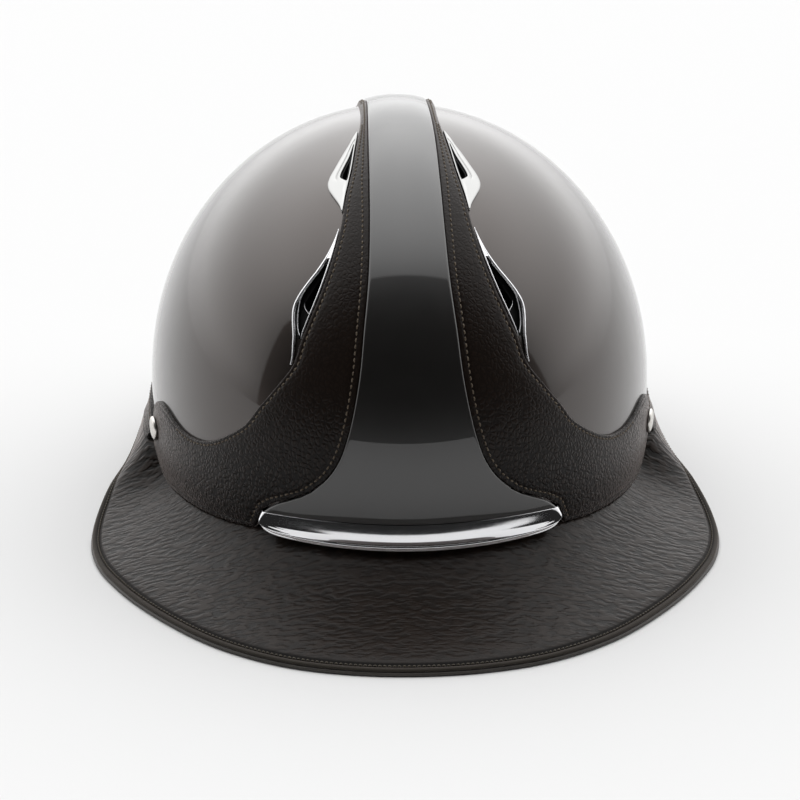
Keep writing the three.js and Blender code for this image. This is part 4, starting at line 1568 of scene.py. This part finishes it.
@dataclass(frozen=True)
class Stripe:
    """The lacquered stripe from the trim over the crown to the nape, with rounded edges.

    Where it crosses the crown its section is domed, so that its edges come down to the leather.
    """

    outlines: Outlines
    thickness: float = 3.4
    doming: float = 1.3  # mm that the edges lie lower than the middle, at the crown
    domed: tuple[float, float] = (0.12, 0.5)  # places on both sides of the crown, between which that fades
    section: float = 2.5  # the power that gives the domed section
    radius: float = 1.0
    edge: tuple[float, ...] = (0, 0.06, 0.18, 0.35, 0.58, 0.82, 1.1, 1.6)  # columns from the edge, in radii
    rows: int = 180
    columns: int = 36

    def build(self, lacquer: Material) -> None:
        """Makes the stripe.

        Args:
            lacquer: its finish.
        """
        place = np.linspace(-1, 1, self.rows)
        half = self.outlines.stripe_half(place)
        near = -1 + np.array(self.edge)[None, :] * self.radius / half[:, None]
        middle = lerp(near[:, -1:], -near[:, -1:], np.linspace(0, 1, self.columns)[None, 1:-1])
        side = np.hstack((near, middle, -near[:, ::-1]))
        direction = self.outlines.stripe(place[:, None], side)
        distance = (1 - np.abs(side)) * half[:, None]
        domed = (1 - smoothstep(np.abs(place), *self.domed))[:, None]
        doming = self.doming * domed * np.abs(side) ** self.section
        top = SEAT + self.thickness - rounding(distance, self.radius) - doming
        dome = self.outlines.dome
        points, faces = slab(dome.point(direction, top), dome.point(direction, BED))
        made = make_object("stripe_plate", points, faces, lacquer)
        place_piece(made, ["centre_stripe"])


@dataclass(frozen=True)
class Trim:
    """The chrome trim at the foot of the stripe: a face that leans out to a roll, a groove and a flange."""

    outlines: Outlines
    bottom_level: float = 25.6
    past_end: float = 1.2
    end_height: float = 0.6
    stand: float = 5.6
    squareness: float = 24  # the power that keeps its ends tall until close to their tips
    tip: float = 0.5  # share of its stand that is left at the very tips
    tip_sharpness: float = 160
    lip_span: tuple[float, float] = (0.35, 0.85)  # shares of the way aside, between which the lip comes in
    # By the share of the way down: how far the face stands out, as a share of its stand.
    face: Column = Column.of(
        (0, 0.66), (0.004, 0.69), (0.01, 0.71), (0.018, 0.724), (0.03, 0.735), (0.045, 0.746), (0.06, 0.756),
        (0.1, 0.785), (0.2, 0.856), (0.3, 0.927), (0.4, 0.997), (0.48, 1.052), (0.52, 1.074), (0.55, 1.088),
        (0.59, 1.098), (0.64, 1.104), (0.69, 1.105), (0.715, 1.098), (0.735, 1.07), (0.75, 1.02),
        (0.765, 0.96), (0.778, 0.935), (0.8, 0.97), (0.82, 0.999), (0.835, 1.008), (0.85, 1.011),
        (0.88, 1.015), (0.91, 1.019), (0.94, 1.022), (0.955, 1.02), (0.97, 1.002), (0.985, 0.95), (1, 0.87),
    )
    # What is added towards the ends, where the roll turns into a sharper lip.
    lip: Column = Column.of(
        (0, 0), (0.48, 0), (0.55, 0.012), (0.59, 0.027), (0.64, 0.056), (0.69, 0.09), (0.715, 0.102),
        (0.735, 0.08), (0.75, 0.04), (0.765, 0.02), (0.78, 0), (1, 0),
    )

    def direction(self, side: Array, down: Array) -> Array:
        """Directions on the trim.

        Args:
            side: -1 at its left end, 1 at its right one.
            down: from its top edge at 0 down to its bottom edge at 1.

        Returns:
            The directions.
        """
        half = self.outlines.stripe_foot_half_width + self.past_end
        across = side * half / self.outlines.dome.half_width
        top = self.outlines.trim_top(side) - GAP
        tall = np.sqrt(np.maximum(1 - np.abs(side) ** self.squareness, 0))
        height = lerp(self.end_height, top - self.bottom_level, tall)
        return over(across, self.outlines.dome.tilt_at_level(across, top - height * down))

    def build(self, chrome: Material) -> None:
        """Makes the trim, with columns crowded at its ends and rows at its top edge and its groove.

        Args:
            chrome: its finish.
        """
        half = 1 - np.concatenate((np.geomspace(0.0004, 0.03, 14), np.linspace(0.04, 1, 60)))
        side = np.concatenate((-np.insert(half, 0, 1.0), half[-2::-1], (1.0,)))
        down = np.concatenate(
            ((0.0,), np.geomspace(0.004, 0.1, 12), np.linspace(0.13, 0.44, 10), np.linspace(0.45, 1, 66)))
        direction = self.direction(side[:, None], down[None, :])
        taper = lerp(1, self.tip, np.abs(side) ** self.tip_sharpness)
        sharp = smoothstep(np.abs(side), *self.lip_span)
        share = self.face(down)[None, :] + self.lip(down)[None, :] * sharp[:, None]
        dome = self.outlines.dome
        outside = dome.point(direction, self.stand * share * taper[:, None])
        points, faces = slab(outside, dome.point(direction, BED))
        made = make_object("trim_plate", points, faces, chrome, ROUNDED_SHARP)
        place_piece(made, ["front_trim"])


# Leather panels


@dataclass(frozen=True)
class Row:
    """One line across a panel, from its inner edge to its outer one.

    The inner edge is beside the stripe at a place, past its foot by a share of the trim's end, or on the
    seam at the turn foot. The outer edge is on the window at a place, or at a turn and rise.
    """

    beside: float | None = None
    past: float = 0.0
    foot: float = 0.0
    window: float | None = None
    turn: float = 0.0
    rise: float = 0.0
    swell: float = 0.0


JOIN = 0.1  # place where the front and rear panels meet, behind the crown
FRONT_ROWS = (
    *(Row(beside=p, window=p) for p in (JOIN, 0, -0.0735, -0.147, -0.2205, -0.302, -0.378, -0.4515, -0.521,
                                        -0.584, -0.628, -0.68, -0.733, -0.7875)),
    *(Row(beside=b, past=p, turn=t, rise=r) for b, p, t, r in (
        (-0.86, 0, 37.6, 8.6), (-0.93, 0, 41.6, 5.5), (-0.975, 0.5, 46.2, 2.7), (-1, 1, 50, 1.1))),
    *(Row(foot=f, turn=t, rise=r) for f, t, r in (
        (35.2, 53.6, 0.4), (41, 57, 0.2), (48, 60.4, 0.5), (55, 63.6, 1.2), (61.5, 66.6, 1.8),
        (67.5, 69.9, 1.7), (71.5, 72.8, 0.7), (74, 75.2, -0.9), (76, 77, -2.8), (77.6, 78.1, -5),
        (78.6, 78.7, -7.2))),
)
REAR_START = JOIN + GAP / (Dome.back * math.pi / 2)
REAR_ROWS = (
    *(Row(beside=p, window=p) for p in (REAR_START, 0.16, 0.22)),
    *(Row(beside=b, turn=t, rise=r) for b, t, r in (
        (0.3, 162, 58.5), (0.4, 156.5, 49.5), (0.5, 149.5, 41.5), (0.6, 142.5, 33.8), (0.7, 136, 26.6),
        (0.8, 130, 20), (0.9, 124.5, 14.2), (1, 119.5, 9.4))),
    *(Row(foot=f, turn=t, rise=r, swell=s) for f, t, r, s in (
        (152, 114.5, 5.4, 0), (143, 109.5, 2.2, 0), (134, 104.5, -0.4, 0), (125, 100, -2.3, 0),
        (116, 96, -3.4, 0), (108, 92, -3.8, 0.15), (99.5, 88, -4, 0.65), (92, 84.6, -4.4, 1),
        (85.5, 82, -5.2, 1), (80.4, 80.2, -6.4, 0.9))),
)


@dataclass(frozen=True)
class Panel:
    """A leather panel that lies on the dome, with turned edges and the grooves of its stitches."""

    name: str
    outlines: Outlines
    rows: tuple[Row, ...]
    thickness: float = 1.7
    swell: float = 3.3  # extra thickness where the rear panel meets the brim
    radius: float = 0.75
    seam: float = 0.1  # between the leather and the stripe, which is pressed against it
    trim_end: float = 1.2  # mm that the trim runs past the stripe's foot
    steps: int = 8
    crowded: tuple[float, ...] = (0, 0.012, 0.03, 0.055, 0.085, 0.13, 0.22, 0.36, 0.52, 0.68,
                                  0.84)  # shares of the way to the next row, where lines lie at the ends
    columns: int = 22
    edge: tuple[float, ...] = (0, 0.06, 0.16, 0.3, 0.48, 0.75, 1.1, 1.5, 1.9, 2.3, 2.7, 3.1,
                               3.6)  # mm from either edge, where columns lie
    room: float = 2.3  # how often those must fit in the width, or they are squeezed
    least: float = 0.3  # mm of leather that is left everywhere
    outer_fall: float = 1.0  # mm that the outer edge is pressed and skived down
    crown_swell: float = 0.35  # extra thickness beside the stripe where it crosses the top
    crown_fade: tuple[float, float] = (25, 75)  # mm along, between which that fades
    inner_stitch: float = 2.9
    outer_stitch: tuple[float, float] = (1.6, 2.4)  # mm from the window edge at the crown and low down
    lowering: tuple[float, float] = (60, 130)  # mm along, between which the one becomes the other
    most_aside: float = 0.36  # share of the width that a row of stitches keeps to
    channel: tuple[float, float] = (1.1, 0.28)  # mm wide and deep, the dent that the stitches lie in
    unsewn: tuple[float, float] = (3, 4)  # mm from the panel's two ends
    bedded: float = 0.1  # mm that the thread's line lies in the leather
    outer_end: float = 180.0  # turn at which the outer row of stitches ends
    pitch: float = 2.7

    def _shares(self) -> list[Array]:
        """Where the panel's lines lie.

        Returns:
            For each stretch between two rows, the shares of the way, closer together at both ends.
        """
        plain = np.arange(self.steps) / self.steps
        shares = [plain] * (len(self.rows) - 1)
        shares[0] = np.array(self.crowded)
        shares[-1] = np.concatenate(((0.0,), np.sort(1 - shares[0][1:]), (1.0,)))
        return shares

    def _inner(self, a: Row, b: Row, share: Array) -> Array:
        """Directions on the inner edge between two rows.

        Args:
            a: the first row.
            b: the second row.
            share: of the way from one to the other.

        Returns:
            The directions.
        """
        if a.beside is not None and b.beside is not None:
            out = self.seam + self.trim_end * lerp(a.past, b.past, share)
            return self.outlines.stripe(lerp(a.beside, b.beside, share), 1.0, out)
        if a.beside is None and b.beside is None:
            return self.outlines.foot(lerp(a.foot, b.foot, share))
        first, last = (self._inner(row, row, np.zeros(1)) for row in (a, b))
        return lerp(first, last, share[:, None])

    def _outer(self, row: Row) -> Array:
        """The direction of a row's outer end."""
        return around(row.turn, row.rise) if row.window is None else self.outlines.window(row.window)

    def edges(self) -> tuple[Array, Array, Array]:
        """The panel's two edges.

        Returns:
            The inner directions, the outer ones, and the swell at each line.
        """
        shares = self._shares()
        pairs = list(zip(self.rows, self.rows[1:]))
        inner = np.vstack([self._inner(a, b, s) for (a, b), s in zip(pairs, shares)])
        corners = np.array([self._outer(row) for row in self.rows])
        outer = unit(np.vstack(centripetal(corners, shares)))
        swell = np.concatenate([lerp(a.swell, b.swell, s) for (a, b), s in zip(pairs, shares)])
        return unit(inner), outer, swell

    def _lift(self, raised: Array, share: Array) -> Array:
        """The lift of the plain surface, extra thickness included, at a share of the way outwards."""
        return SEAT + self.thickness + raised * (1 - share) ** 1.5 - self.outer_fall * share**3

    def surface(self) -> dict[str, Array]:
        """The panel's grid.

        Returns:
            Directions and lifts of its points, the directions of both edges, and for each line its width, how
            far along it is and how much thicker the leather is there.
        """
        inner, outer, swell = self.edges()
        dome = self.outlines.dome
        width = np.linalg.norm(dome.point(inner) - dome.point(outer), axis=-1)
        offsets = np.array(self.edge)
        squeeze = np.minimum(1, width / (self.room * offsets[-1]))
        near = offsets[None, :] * squeeze[:, None] / width[:, None]
        middle = lerp(near[:, -1:], 1 - near[:, -1:], np.linspace(0, 1, self.columns)[None, 1:-1])
        share = np.hstack((near, middle, 1 - near[:, ::-1]))
        direction = unit(lerp(inner[:, None], outer[:, None], share[..., None]))
        along = lengths(dome.point(unit(inner + outer)))
        sides = [share * width[:, None], (1 - share) * width[:, None]]
        ends = np.minimum(along, along[-1] - along)[:, None]
        raised = self.swell * swell + self.crown_swell * (1 - smoothstep(along, *self.crown_fade))
        drop = rounding(np.minimum(np.minimum(*sides), ends), self.radius)
        for distance, row in zip(sides, self.sewn(width, along)):
            drop = drop + groove(distance - row[:, None], *self.channel)
        lift = np.maximum(self._lift(raised[:, None], share) - drop, BED + self.least)
        return {"direction": direction, "lift": lift, "inner": inner, "outer": outer, "width": width,
                "along": along, "raised": raised}

    def sewn(self, width: Array, along: Array) -> list[Array]:
        """How far the two rows of stitches lie from the inner and from the outer edge."""
        outer = lerp(*self.outer_stitch, smoothstep(along, *self.lowering))
        return [np.minimum(row, self.most_aside * width) for row in (self.inner_stitch, outer)]

    def stitch_lines(self) -> list[StitchLine]:
        """The lines that the panel's stitches follow.

        Returns:
            The inner and the outer line, worked out for the right half.
        """
        surface = self.surface()
        width, along, outer = (surface[key] for key in ("width", "along", "outer"))
        inner_row, outer_row = self.sewn(width, along)
        is_beside = np.concatenate([np.full(len(s), a.beside is not None)
                                    for a, s in zip(self.rows, self._shares())])
        turn = np.degrees(np.arctan2(outer[:, 0], -outer[:, 1]))
        first, last = self.unsewn
        begun, ended = along > first, along >= along[-1] - last
        lines = []
        for share, kept in ((inner_row / width, is_beside & begun),
                            (1 - outer_row / width, begun & ~ended & (turn < self.outer_end))):
            direction = unit(lerp(surface["inner"], outer, share[:, None]))
            points = self.outlines.dome.point(direction, self._lift(surface["raised"], share) - self.bedded)
            lines.append(StitchLine(points[kept], self.outlines.dome.normal(direction)[kept]))
        return lines

    def build(self, finishes: Finishes, stitching: Stitching, side: Side) -> None:
        """Makes the panel and its stitches.

        Args:
            finishes: the helmet's finishes.
            stitching: the way that it is sewn.
            side: the half that it is for.
        """
        surface = self.surface()
        dome = self.outlines.dome
        direction = surface["direction"]
        top = dome.point(direction, surface["lift"])
        points, faces = slab(top, dome.point(direction, BED))
        made = make_object(f"{self.name}_panel_{side.value}", side.turned(points), faces, finishes.panel,
                           ROUNDED_SHARP)
        place_piece(made, [f"{self.name}_leather_{side.value}"])
        sewn = stitching.build(f"{self.name}_stitches_{side.value}", self.stitch_lines(), self.pitch,
                               finishes.thread, side)
        place_piece(sewn, [])


# Brim


# By the turn from the front: the brim's reach as a share of the longest, and how far its edge has risen.
BRIM_REACH = Column.of(
    (0, 1), (8.5, 1), (17, 0.99), (27, 0.935), (38, 0.84), (50, 0.755), (56.5, 0.71), (62.6, 0.638),
    (67.9, 0.545), (73, 0.444), (78.3, 0.34), (83.7, 0.223), (89.7, 0.152), (97, 0.12), (106, 0.085),
)
BRIM_RISE = Column.of(
    (0, 0), (8.5, 0), (17, 0), (27, 0), (38, 0), (50, 0), (56.5, 0), (62.6, 0.04), (67.9, 0.147),
    (73, 0.3), (78.3, 0.467), (83.7, 0.667), (89.7, 0.833), (97, 0.94), (106, 1),
)


@dataclass(frozen=True)
class Brim:
    """The brim: a leather top over a thicker lower layer, sewn together along the edge."""

    outlines: Outlines
    reach: float = 64
    side_rise: float = 15
    flare: float = 7
    leather: float = 1.25
    lining: float = 1.35
    parting: float = 0.1  # between the two layers
    lining_edge: float = 0.5
    shoulder: float = 4.2
    shoulder_turns: tuple[float, float, float] = (70, 82, 92)
    stitch: float = 2.7
    channel: tuple[float, float] = (2.8, 0.75)  # mm wide and deep, the dent that the stitches lie in
    thread_depth: float = 0.6  # share of that depth at which the thread's line lies
    pitch: float = 1.9
    sewn_to: float = 95.0  # turn at which the stitches end
    sewn_points: int = 700
    turns: int = 301
    columns: int = 34
    edge: tuple[float, ...] = (0, 0.04, 0.11, 0.22, 0.36, 0.56, 0.8, 1.1, 1.4, 1.7, 1.95, 2.2, 2.45, 2.7, 3.1,
                               3.6, 4.2, 4.9)  # mm from the edge, where columns lie
    room: float = 1.5  # how often those must fit in the reach, or they are squeezed
    puff: tuple[float, float, float] = (0.15, 1.1, 0.6)  # mm: how high, where and how wide it swells
    radii: tuple[float, float] = (0.55, 0.6)  # of the edges of the top and of the lower layer
    cut_depth: float = 192.0  # mm from front to back of the piece that each layer is cut from

    def _point(self, turn: Array, way: Array, drop: Array, at_root: Array) -> Array:
        """Points of the brim.

        Args:
            turn: around the dome, negative on the left.
            way: 0 at the shoulder, 1 at the brim's edge.
            drop: mm below the seam.
            at_root: where true, the point lies against the dome instead.

        Returns:
            The points, in mm.
        """
        turn, way, drop, at_root = np.broadcast_arrays(turn, way, drop, at_root)
        half = np.abs(turn)
        dome = self.outlines.dome
        begin, full, fade = self.shoulder_turns
        fading = 1 - smoothstep(half, fade, self.outlines.brim_end_turn)
        out = SEAT + self.shoulder * smoothstep(half, begin, full) * fading
        direction = dome.at_level(half, self.outlines.seam_level(half) - GAP - drop, SEAT)
        root = dome.point(direction, SEAT + np.where(at_root, 0, out))
        reach = self.reach * BRIM_REACH(half)
        length = np.where(half < 90, dome.front, dome.back)
        level = self.side_rise * BRIM_RISE(half) + self.leather + self.parting + self.lining - drop
        angle = np.radians(half)
        aside, ahead = (dome.half_width + reach) * np.sin(angle), (length + reach) * np.cos(angle)
        edge = np.stack((aside, -ahead, level), -1)
        way = np.where(at_root, 0, way)
        point = lerp(root, edge, way[..., None])
        point[..., 2] -= self.flare * BRIM_REACH(half) * ((1 - way) - (1 - way) ** 4)
        point[..., 0] *= np.where(turn < 0, -1, 1)
        return point

    def _squeeze(self, room: Array) -> Array:
        """How much closer together the columns at the edge lie where there is little room for them."""
        return np.minimum(1, room / (self.room * self.edge[-1]))

    def _layer(self, drop: float, thickness: float, inset: float,
               radius: float) -> tuple[Array, list, Array, float]:
        """One layer of the brim.

        Args:
            drop: mm from the seam to its top.
            thickness: in mm.
            inset: mm that it stays behind the brim's edge.
            radius: of its rounded edge.

        Returns:
            The points, the faces, how far inside the edge each point is, and the area in mm².
        """
        turn = np.linspace(-self.outlines.brim_end_turn, self.outlines.brim_end_turn, self.turns)[:, None]
        reach = self.reach * BRIM_REACH(np.abs(turn))
        squeeze = self._squeeze(reach - inset)
        near = np.array(self.edge)[None, :] * squeeze
        rest = lerp(near[:, -1:], reach - inset, np.linspace(0, 1, self.columns)[None, 1:])
        inside = np.hstack((near, rest, rest[:, -1:]))
        way = (reach - inset - inside) / reach
        at_root = np.zeros(inside.shape, bool)
        at_root[:, -1] = True
        lowered = rounding(inside, radius)
        if drop == 0:
            high, puffed_at, wide = self.puff
            lowered_top = lowered + groove(inside - self.stitch * squeeze, *self.channel)
            lowered_top -= high * np.exp(-(((inside - puffed_at) / wide) ** 2))
        else:
            lowered_top = lowered
        top = self._point(turn, way, drop + lowered_top, at_root)
        bottom = self._point(turn, way, drop + thickness - lowered, at_root)
        points, faces = slab(top, bottom)
        return points, faces, np.tile(inside.reshape(-1), 2), area(top)

    def build(self, finishes: Finishes, stitching: Stitching) -> None:
        """Makes both layers and the stitches.

        Args:
            finishes: the helmet's finishes.
            stitching: the way that they are sewn.
        """
        points, faces, inside, size = self._layer(0, self.leather, self.lining_edge, self.radii[0])
        top = make_object("brim_cover", points, faces, finishes.brim, ROUNDED_SHARP)
        measured = top.data.attributes.new("inside", "FLOAT", "POINT")
        measured.data.foreach_set("value", inside.astype(np.float32))
        place_piece(top, ["brim_leather"])
        points, faces, _, size = self._layer(self.leather + self.parting, self.lining, 0, self.radii[1])
        under = make_object("brim_base", points, faces, finishes.lining, ROUNDED_SHARP)
        place_piece(under, ["brim_lining"])
        sewn = stitching.build("brim_stitches", [self._stitch_line()], self.pitch, finishes.dark_thread)
        place_piece(sewn, [])

    def _stitch_line(self) -> StitchLine:
        """The line of the brim's stitches.

        Returns:
            The line around both sides.
        """
        turn = np.linspace(-self.sewn_to, self.sewn_to, self.sewn_points)
        reach = self.reach * BRIM_REACH(np.abs(turn))
        room = reach - self.lining_edge
        way = (room - self.stitch * self._squeeze(room)) / reach
        flat = np.zeros(turn.shape, bool)
        sunk = np.full(turn.shape, self.thread_depth * self.channel[1])
        points = self._point(turn, way, sunk, flat)
        inner = self._point(turn, way - 1.5 / reach, sunk, flat)  # a little further in, for the normals
        along = np.gradient(points, axis=0)
        normal = unit(np.cross(inner - points, along))
        return StitchLine(points, normal * np.sign(normal[:, 2:]))


# Snaps

# Shares of the cap's radius and height, from the middle of its face round to the middle of its back.
CAP_PROFILE = (
    (0, 1), (0.3, 0.985), (0.55, 0.93), (0.75, 0.83), (0.88, 0.69), (0.96, 0.52), (1, 0.32), (0.99, 0.14),
    (0.95, 0.02), (0.9, 0), (0.5, 0), (0, 0),
)


@dataclass(frozen=True)
class Stud:
    """The cap of the snap on a front panel's tab, domed, with a rolled edge."""

    outlines: Outlines
    turn: float = 73.6
    rise: float = -4.4
    radius: float = 5.35
    height: float = 2.2
    leather: float = 1.7
    sunk: float = 0.3  # mm that the cap is pressed into the leather
    sides: int = 48

    def build(self, cap: Material, side: Side) -> None:
        """Makes the cap.

        Args:
            cap: its finish.
            side: the half that it is for.
        """
        profile = [(across * self.radius, up * self.height) for across, up in CAP_PROFILE]
        points, faces = lathe(profile, self.sides)
        direction = around(self.turn, self.rise)
        dome = self.outlines.dome
        normal = dome.normal(direction)
        turned = np.array(Vector((0, 0, 1)).rotation_difference(Vector(normal)).to_matrix())
        placed = points @ turned.T + dome.point(direction, SEAT + self.leather - self.sunk)
        made = make_object(f"snap_cap_{side.value}", side.turned(placed), faces, cap, ROUNDED_SHARP)
        place_piece(made, [f"stud_{side.value}"])


# Studio


@dataclass(frozen=True)
class Studio:
    """A pale floor, a white tent around it that is open in front, and the camera."""

    elevation: float = 22.0
    yaw: float = -2.3
    distance: float = 1250.0
    across: float = 0.41
    level: float = 32.6
    lens: float = 124.0
    sensor: float = 36.0
    seen: tuple[float, float] = (0.05, 60.0)  # m, the nearest and the farthest that is drawn
    floor_reach: float = 14.0  # m
    floor_drop: float = 0.0002
    roof_front: float = 0.305  # how far forward the roof reaches, for each metre of its height
    side_front: float = 0.185  # the same for the side walls, for each metre to the side
    right_slant: float = 0.3  # how much further the right wall reaches, for each metre of its height
    softness: float = 0.015
    horizon: float = 1.2  # brightness, a white sheet in plain light being 1
    wall: float = 1.75
    wall_rise: tuple[float, float] = (-0.02, 0.16)  # heights between which the walls take that brightness
    roof: float = 2.65
    roof_rise: tuple[float, float] = (0.35, 0.75)
    front_fall: float = 0.6  # share of the brightness that is lost at the front edge
    fall_reach: float = 0.4
    spread: float = 1.08  # brightness low down, and what is lost of it high up at the sides
    side_loss: float = 0.4
    opening: float = 0.02

    def floor(self) -> None:
        """Makes the floor."""
        finish = Finish("pale_paper", "#e7e7e7", 0.9, sockets={"Specular IOR Level": 0.1})
        mesh = bpy.data.meshes.new("floor")
        corners = ((-1, -1), (1, -1), (1, 1), (-1, 1))
        reach = self.floor_reach
        mesh.from_pydata([(x * reach, y * reach, -self.floor_drop) for x, y in corners], [], [(0, 1, 2, 3)])
        mesh.materials.append(finish.material())
        made = bpy.data.objects.new("floor", mesh)
        bpy.context.scene.collection.objects.link(made)

    def tent(self) -> None:
        """Makes the tent as the world: white cloth lit from outside, brightest overhead, open in front."""
        world = bpy.data.worlds.new("studio")
        world.use_nodes = True
        tree = world.node_tree
        way = add_node(tree, "ShaderNodeTexCoord").outputs["Generated"]
        found = dict(zip("xyz", add_node(tree, "ShaderNodeSeparateXYZ", {0: way}).outputs))
        for name, (low, high), amount in (("walls", self.wall_rise, self.wall - self.horizon),
                                          ("roof", self.roof_rise, self.roof - self.wall)):
            span = {VALUE: found["z"], FROM_LOW: low, FROM_HIGH: high, TO_LOW: 0.0, TO_HIGH: amount}
            found[name] = add_node(tree, "ShaderNodeMapRange", span,
                                   interpolation_type="SMOOTHSTEP").outputs[0]
        # Each line names a result, its operation, and the results or numbers that it takes.
        for name, operation, *values in (
            ("aside", "ABSOLUTE", "x"),
            ("right", "MAXIMUM", "x", 0.0),
            ("slant", "MULTIPLY", "z", self.right_slant),
            ("slant", "MULTIPLY", "right", "slant"),
            ("sides", "MULTIPLY", "aside", self.side_front),
            ("sides", "ADD", "sides", "slant"),
            ("cover", "MULTIPLY", "z", self.roof_front),
            ("cover", "MAXIMUM", "cover", "sides"),
            ("inside", "ADD", "y", "cover"),
            ("height", "ADD", "walls", "roof"),
            ("height", "ADD", "height", self.horizon),
            ("near", "DIVIDE", "inside", -self.fall_reach),
            ("near", "EXPONENT", "near"),
            ("near", "MULTIPLY", "near", self.front_fall),
            ("fall", "SUBTRACT", 1.0, "near"),
            ("apart", "MULTIPLY", "aside", "z"),
            ("apart", "MULTIPLY", "apart", self.side_loss),
            ("apart", "SUBTRACT", self.spread, "apart"),
            ("cloth", "MULTIPLY", "height", "fall"),
            ("cloth", "MULTIPLY", "cloth", "apart"),
            ("cloth", "MAXIMUM", "cloth", 0.0),
        ):
            inputs = {k: found.get(value, value) for k, value in enumerate(values)}
            found[name] = add_node(tree, "ShaderNodeMath", inputs, operation=operation).outputs[0]
        edge = {VALUE: found["inside"], FROM_LOW: self.softness, FROM_HIGH: -self.softness}
        dark = add_node(tree, "ShaderNodeMapRange", edge, interpolation_type="SMOOTHSTEP").outputs[0]
        light = add_node(tree, "ShaderNodeMix", {FACTOR: dark, A: found["cloth"], B: self.opening})
        ground = world.node_tree.nodes["Background"]
        ground.inputs["Color"].default_value = linear("#ffffff")
        tree.links.new(light.outputs[0], ground.inputs["Strength"])
        bpy.context.scene.world = world

    def camera(self) -> None:
        """Makes the camera at the photograph's viewing angle."""
        e, w = math.radians(self.elevation), math.radians(self.yaw)
        back = Vector((math.sin(w) * math.cos(e), -math.cos(w) * math.cos(e), math.sin(e)))
        right = Vector((math.cos(w), math.sin(w), 0))
        upward = back.cross(right)
        target = right * self.across + upward * self.level + Vector(DOME_PLACE)
        data = bpy.data.cameras.new("camera")
        data.lens = self.lens
        data.sensor_width = self.sensor
        data.clip_start, data.clip_end = self.seen
        made = bpy.data.objects.new("camera", data)
        turned = Matrix((right, upward, back)).transposed().to_4x4()
        made.matrix_world = Matrix.Translation((target + back * self.distance) * MM) @ turned
        bpy.context.scene.collection.objects.link(made)
        bpy.context.scene.camera = made

    def build(self) -> None:
        """Makes the floor, the tent and the camera."""
        self.floor()
        self.tent()
        self.camera()
        bpy.context.scene.view_settings.view_transform = "Standard"


# The helmet


class Helmet:
    """The whole helmet, in the order in which it is built."""

    def __init__(self) -> None:
        """Sets out the sub-assemblies."""
        self.outlines = Outlines()
        self.finishes = Finishes()
        self.stitching = Stitching(StitchTree())
        upper_far = Column.of(
            (-0.075, 0.06), (-0.1, 0.2), (-0.13, 0.35), (-0.173, 0.61), (-0.205, 0.8), (-0.229, 0.94),
            (-0.238, 0.96), (-0.25, 0.96), (-0.268, 0.84), (-0.291, 0.55), (-0.308, 0.32), (-0.323, 0.14),
            (-0.335, 0.05),
        )
        upper_slot = Column.of(
            (-0.13, 0.1), (-0.173, 0.2), (-0.205, 0.36), (-0.229, 0.45), (-0.238, 0.42), (-0.25, 0.14),
        )
        lower_far = Column.of(
            (-0.378, 0.05), (-0.403, 0.11), (-0.43, 0.22), (-0.452, 0.36), (-0.474, 0.54), (-0.497, 0.77),
            (-0.52, 0.95), (-0.545, 1), (-0.576, 0.8), (-0.606, 0.52), (-0.62, 0.4), (-0.65, 0.23),
            (-0.68, 0.11),
        )
        lower_slot = Column.of(
            (-0.452, 0.24), (-0.474, 0.42), (-0.497, 0.65), (-0.52, 0.83), (-0.545, 0.88), (-0.576, 0.68),
            (-0.606, 0.38), (-0.62, 0.2),
        )
        self.upper = LeafVent("upper", self.outlines, upper_far, upper_slot, 0.075)
        self.lower = WireVent("lower", self.outlines, lower_far, lower_slot, 0.09)

    def build(self) -> None:
        """Builds every piece."""
        Shell(self.outlines).build(self.finishes.shell, self.finishes.foam, (self.upper, self.lower))
        Stripe(self.outlines).build(self.finishes.stripe)
        Trim(self.outlines).build(self.finishes.chrome)
        Brim(self.outlines).build(self.finishes, self.stitching)
        front = Panel("front", self.outlines, FRONT_ROWS, outer_end=61.0)
        rear = Panel("rear", self.outlines, REAR_ROWS)
        for side in Side:
            front.build(self.finishes, self.stitching, side)
            rear.build(self.finishes, self.stitching, side)
            self.upper.build(self.finishes, side)
            self.lower.build(self.finishes, side)
            Stud(self.outlines).build(self.finishes.cap, side)


def main() -> None:
    """Builds the studio and the helmet in the CAD frame."""
    logging.basicConfig(level=logging.INFO, format="%(name)s: %(message)s", stream=sys.stdout)
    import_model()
    Studio().build()
    Helmet().build()


if __name__ == "__main__":
    main()
